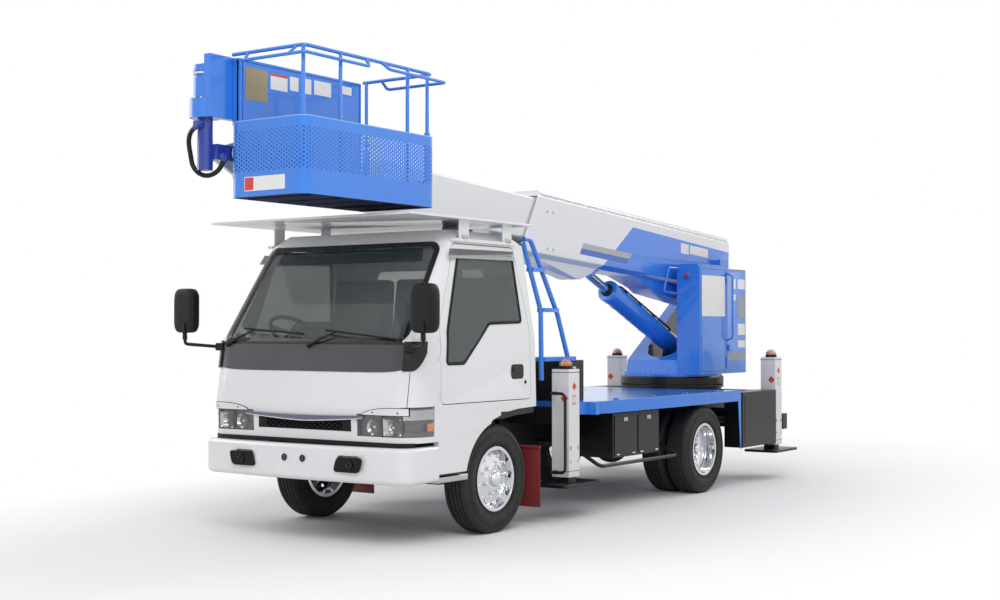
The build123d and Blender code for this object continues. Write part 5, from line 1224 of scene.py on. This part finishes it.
def postDetails():
    # blank reflectors and plates on the posts, bolts, and the split line of the lids
    red, plain, dark, bolts = [], [], [], []
    for side, along, top in posts:
        x, half = side * jacks["x"], jacks["half"]
        face = side * (jacks["x"] + half)
        red += [(diamond, at(face, along, top - 0.120), (0.003, 0.040, 0.040), "X"),
                (slab, at(face - 0.001, along - 0.020, top - 0.245),
                 at(face + 0.001, along + 0.020, top - 0.180), 0.004, 0, 2),
                (diamond, at(side * (jacks["x"] + 0.034), along - half, top - 0.200),
                 (0.046, 0.003, 0.046), "Y")]
        plain.append((slab, at(face - 0.0015, along - 0.014, top - 0.236),
                      at(face + 0.0015, along + 0.014, top - 0.189), 0.004, 0, 2))
        wide = half + 0.0005
        dark += [(slab, at(x - wide, along - wide, low), at(x + wide, along + wide, high))
                 for low, high in ((top - 0.0245, top - 0.0205), (0.330, 0.3335))]
        spots = [at(face, along + off, z) for z in (top - 0.55, 0.40, 0.50) for off in (-0.048, 0.048)]
        bolts += [(bar, spot, spot + Vector((side * 0.006, 0, 0)), 0.0085, 0.0075, 6) for spot in spots]
    build("reflectors", "truck", "labelRed", red, 30, 0.0005)
    build("postLabels", "truck", "labelWhite", plain, 30)
    build("postSeams", "truck", "blackPlastic", dark, 30)
    build("postBolts", "truck", "zincPlate", bolts, 30, 0.0005)


def boxDetails():
    # doors, handles and hinges of the black boxes under the deck and behind the cab
    parts = [(slab, at(0.8590, along, 0.400), at(0.8655, along + 0.31, 0.682), 0.014, 0, 3)
             for along in (1.42, 1.77)]
    parts += [(slab, at(0.6390, 1.08, 0.815), at(0.6450, 1.34, 1.070), 0.012, 0, 3),
              (slab, at(-0.66, 1.0540, 0.825), at(0.60, 1.0605, 1.070), 0.014, 1, 3)]
    parts += both(lambda side: [(slab, at(side * 0.8715 - 0.003, 3.605, 0.345),
                                 at(side * 0.8715 + 0.003, 4.205, 0.745), 0.014, 0, 3)])
    build("boxDoors", "truck", "blackPaint", parts, 35, 0.0015)
    parts = []
    for x, along, z in ((0.8655, 1.575, 0.655), (0.8655, 1.925, 0.655), (0.6450, 1.21, 1.03)):
        parts += [(slab, at(x - 0.001, along - 0.028, z - 0.014), at(x + 0.005, along + 0.028, z + 0.014),
                   0.006, 0, 3),
                  (turned, [(0.004, 0.0), (0.004, 0.008), (0.010, 0.007), (0.011, 0.0)],
                   at(x, along, z), (1, 0, 0), 16)]
    parts += [(bar, at(0.868, along - 0.02, 0.402), at(0.868, along + 0.02, 0.402), 0.006, None, 12)
              for along in (1.46, 1.69, 1.81, 2.04)]
    build("boxFittings", "truck", "zincPlate", parts, 35, 0.0008)


def deckDetails():
    # folded lip round the deck, hold-down rings and rivets along the edge
    lip, rings = [], []
    for side in (1, -1):
        x = side * 0.8935
        lip.append((slab, at(x - 0.0065, 1.34, 0.7995), at(x + 0.0065, 3.46, 0.8035)))
        x = side * 0.80
        for along in (1.55, 2.10, 2.65, 3.20):
            rings += [(turned, [(-0.004, 0.020), (0.0, 0.024), (0.004, 0.020), (0.0, 0.016)],
                       at(x, along, 0.8045), (0, 0, 1), 28, True),
                      (slab, at(x - 0.010, along + 0.012, 0.799), at(x + 0.010, along + 0.032, 0.809))]
        spots = [at(side * 0.8995, 1.38 + k * 0.155, 0.756) for k in range(14)]
        rings += [(bar, spot, spot + Vector((side * 0.0028, 0, 0)), 0.006, 0.0045, 10) for spot in spots]
    build("deckLip", "truck", "bluePaint", lip, 35, 0.0015)
    build("deckRings", "truck", "bluePaint", rings, 40, 0.0005)


def rearLamps():
    back = 4.5505
    for name, finish, x, half in (("rearIndicators", "amberLens", 0.755, 0.038),
                                  ("reversingLamps", "lampLens", 0.600, 0.033)):
        build(name, "truck", finish, both(lambda side: [
            (slab, at(side * x - half, back - 0.004, 0.456), at(side * x + half, back + 0.003, 0.524),
             0.008, 1, 3)]), 35, 0.001)
    build("rearPlate", "truck", "labelWhite",
          [(slab, at(-0.23, back - 0.032, 0.425), at(0.23, back - 0.026, 0.555), 0.010, 1, 3)], 35, 0.001)


beaconPieces()
postDetails()
boxDetails()
deckDetails()
rearLamps()
print("body details made")


# Hose loop at the boom tip, on the same points as the part's source
hoseFacts = {"diameter": 0.028, "length": 0.51}
hosePoints = [(-0.044, -1.825, 2.474), (-0.084, -1.817, 2.455), (-0.112, -1.806, 2.420),
              (-0.124, -1.795, 2.384), (-0.124, -1.780, 2.325), (-0.121, -1.772, 2.273),
              (-0.105, -1.762, 2.239), (-0.077, -1.752, 2.214), (-0.044, -1.743, 2.202),
              (-0.007, -1.735, 2.203), (0.027, -1.724, 2.218), (0.055, -1.714, 2.247), (0.069, -1.706, 2.284)]
hose = splineRod("hose", [at(*point) for point in hosePoints], hoseFacts["diameter"] / 2, "boom_tip",
                 "hoseRubber", 8, 5, ["hose_loop"])
at(*hosePoints[0])
print("hose made")


# Studio: pale floor that fades to white away from the truck, and soft lamps
studio = {"floor": (0.86, 0.86, 0.86), "floorWorn": (0.83, 0.83, 0.83), "floorSize": 60, "world": 0.62,
          "halfWidth": 1.6, "halfLength": 3.7, "fadeFrom": 1.12, "fadeTo": 2.1, "lampSize": (5, 4),
          "lamps": {"key": ((5.0, -6.5, 6.5), (0, 0, 1.2), 330),
                    "fill": ((-6.5, -4.0, 4.0), (0, 0, 1.2), 130),
                    "rim": ((3.0, 7.5, 6.0), (0, 0, 1.4), 190)}}


def plainFloor():
    mesh = bmesh.new()
    bmesh.ops.create_grid(mesh, x_segments=1, y_segments=1, size=studio["floorSize"])
    data = bpy.data.meshes.new("floor")
    mesh.to_mesh(data)
    mesh.free()
    floor = bpy.data.objects.new("floor", data)
    bpy.context.scene.collection.objects.link(floor)
    finish = Finish("floorFinish", Roughness=0.75)
    grain = finish.span(finish.noise(3.0, 4.0), 0.3, 0.7, 0.0, 0.03)
    finish.set(Base_Color=finish.blend(grain, studio["floor"], studio["floorWorn"]))
    x, y, z = finish.axes()
    reach = ((x / studio["halfWidth"]) ** 2.0 + (y / studio["halfLength"]) ** 2.0) ** 0.5
    far = finish.span(reach, studio["fadeFrom"], studio["fadeTo"])
    glow = finish.node("Emission", Color=(1, 1, 1), Strength=1.0)
    path = finish.tree.nodes.new("ShaderNodeLightPath")
    direct, through = (Wire(finish.tree, path.outputs[f"Is {kind} Ray"])
                       for kind in ("Camera", "Transmission"))
    plain = Wire(finish.tree, finish.shader.outputs[0])
    mixed = finish.tree.nodes.new("ShaderNodeMixShader")
    for index, value in enumerate(((far * (direct + through)).clamped(), plain, glow)):
        feed(finish.tree, mixed.inputs[index], value)
    finish.tree.links.new(mixed.outputs[0], finish.tree.nodes["Material Output"].inputs["Surface"])
    data.materials.append(finish.material)


def whiteWorld():
    world = bpy.data.worlds.new("studio")
    world.use_nodes = True
    bpy.context.scene.world = world
    tree = world.node_tree
    background = tree.nodes["Background"]
    path = tree.nodes.new("ShaderNodeLightPath")
    seen, mirrored, through = (Wire(tree, path.outputs[f"Is {kind} Ray"])
                               for kind in ("Camera", "Glossy", "Transmission"))
    strength = (seen + mirrored + through).clamped() * (1.0 - studio["world"]) + studio["world"]
    background.inputs["Color"].default_value = (1, 1, 1, 1)
    feed(tree, background.inputs["Strength"], strength)


def softLamp(name, place, target, power):
    lamp = bpy.data.objects.new(name, bpy.data.lights.new(name, "AREA"))
    lamp.data.shape = "RECTANGLE"
    lamp.data.size, lamp.data.size_y = studio["lampSize"]
    lamp.data.energy = power
    lamp.location = place
    lamp.rotation_euler = (Vector(target) - Vector(place)).to_track_quat("-Z", "Y").to_euler()
    bpy.context.scene.collection.objects.link(lamp)


plainFloor()
whiteWorld()
for name, (place, target, power) in studio["lamps"].items():
    softLamp(name, place, target, power)
bpy.context.scene.view_settings.view_transform = "Standard"
print("studio ready")
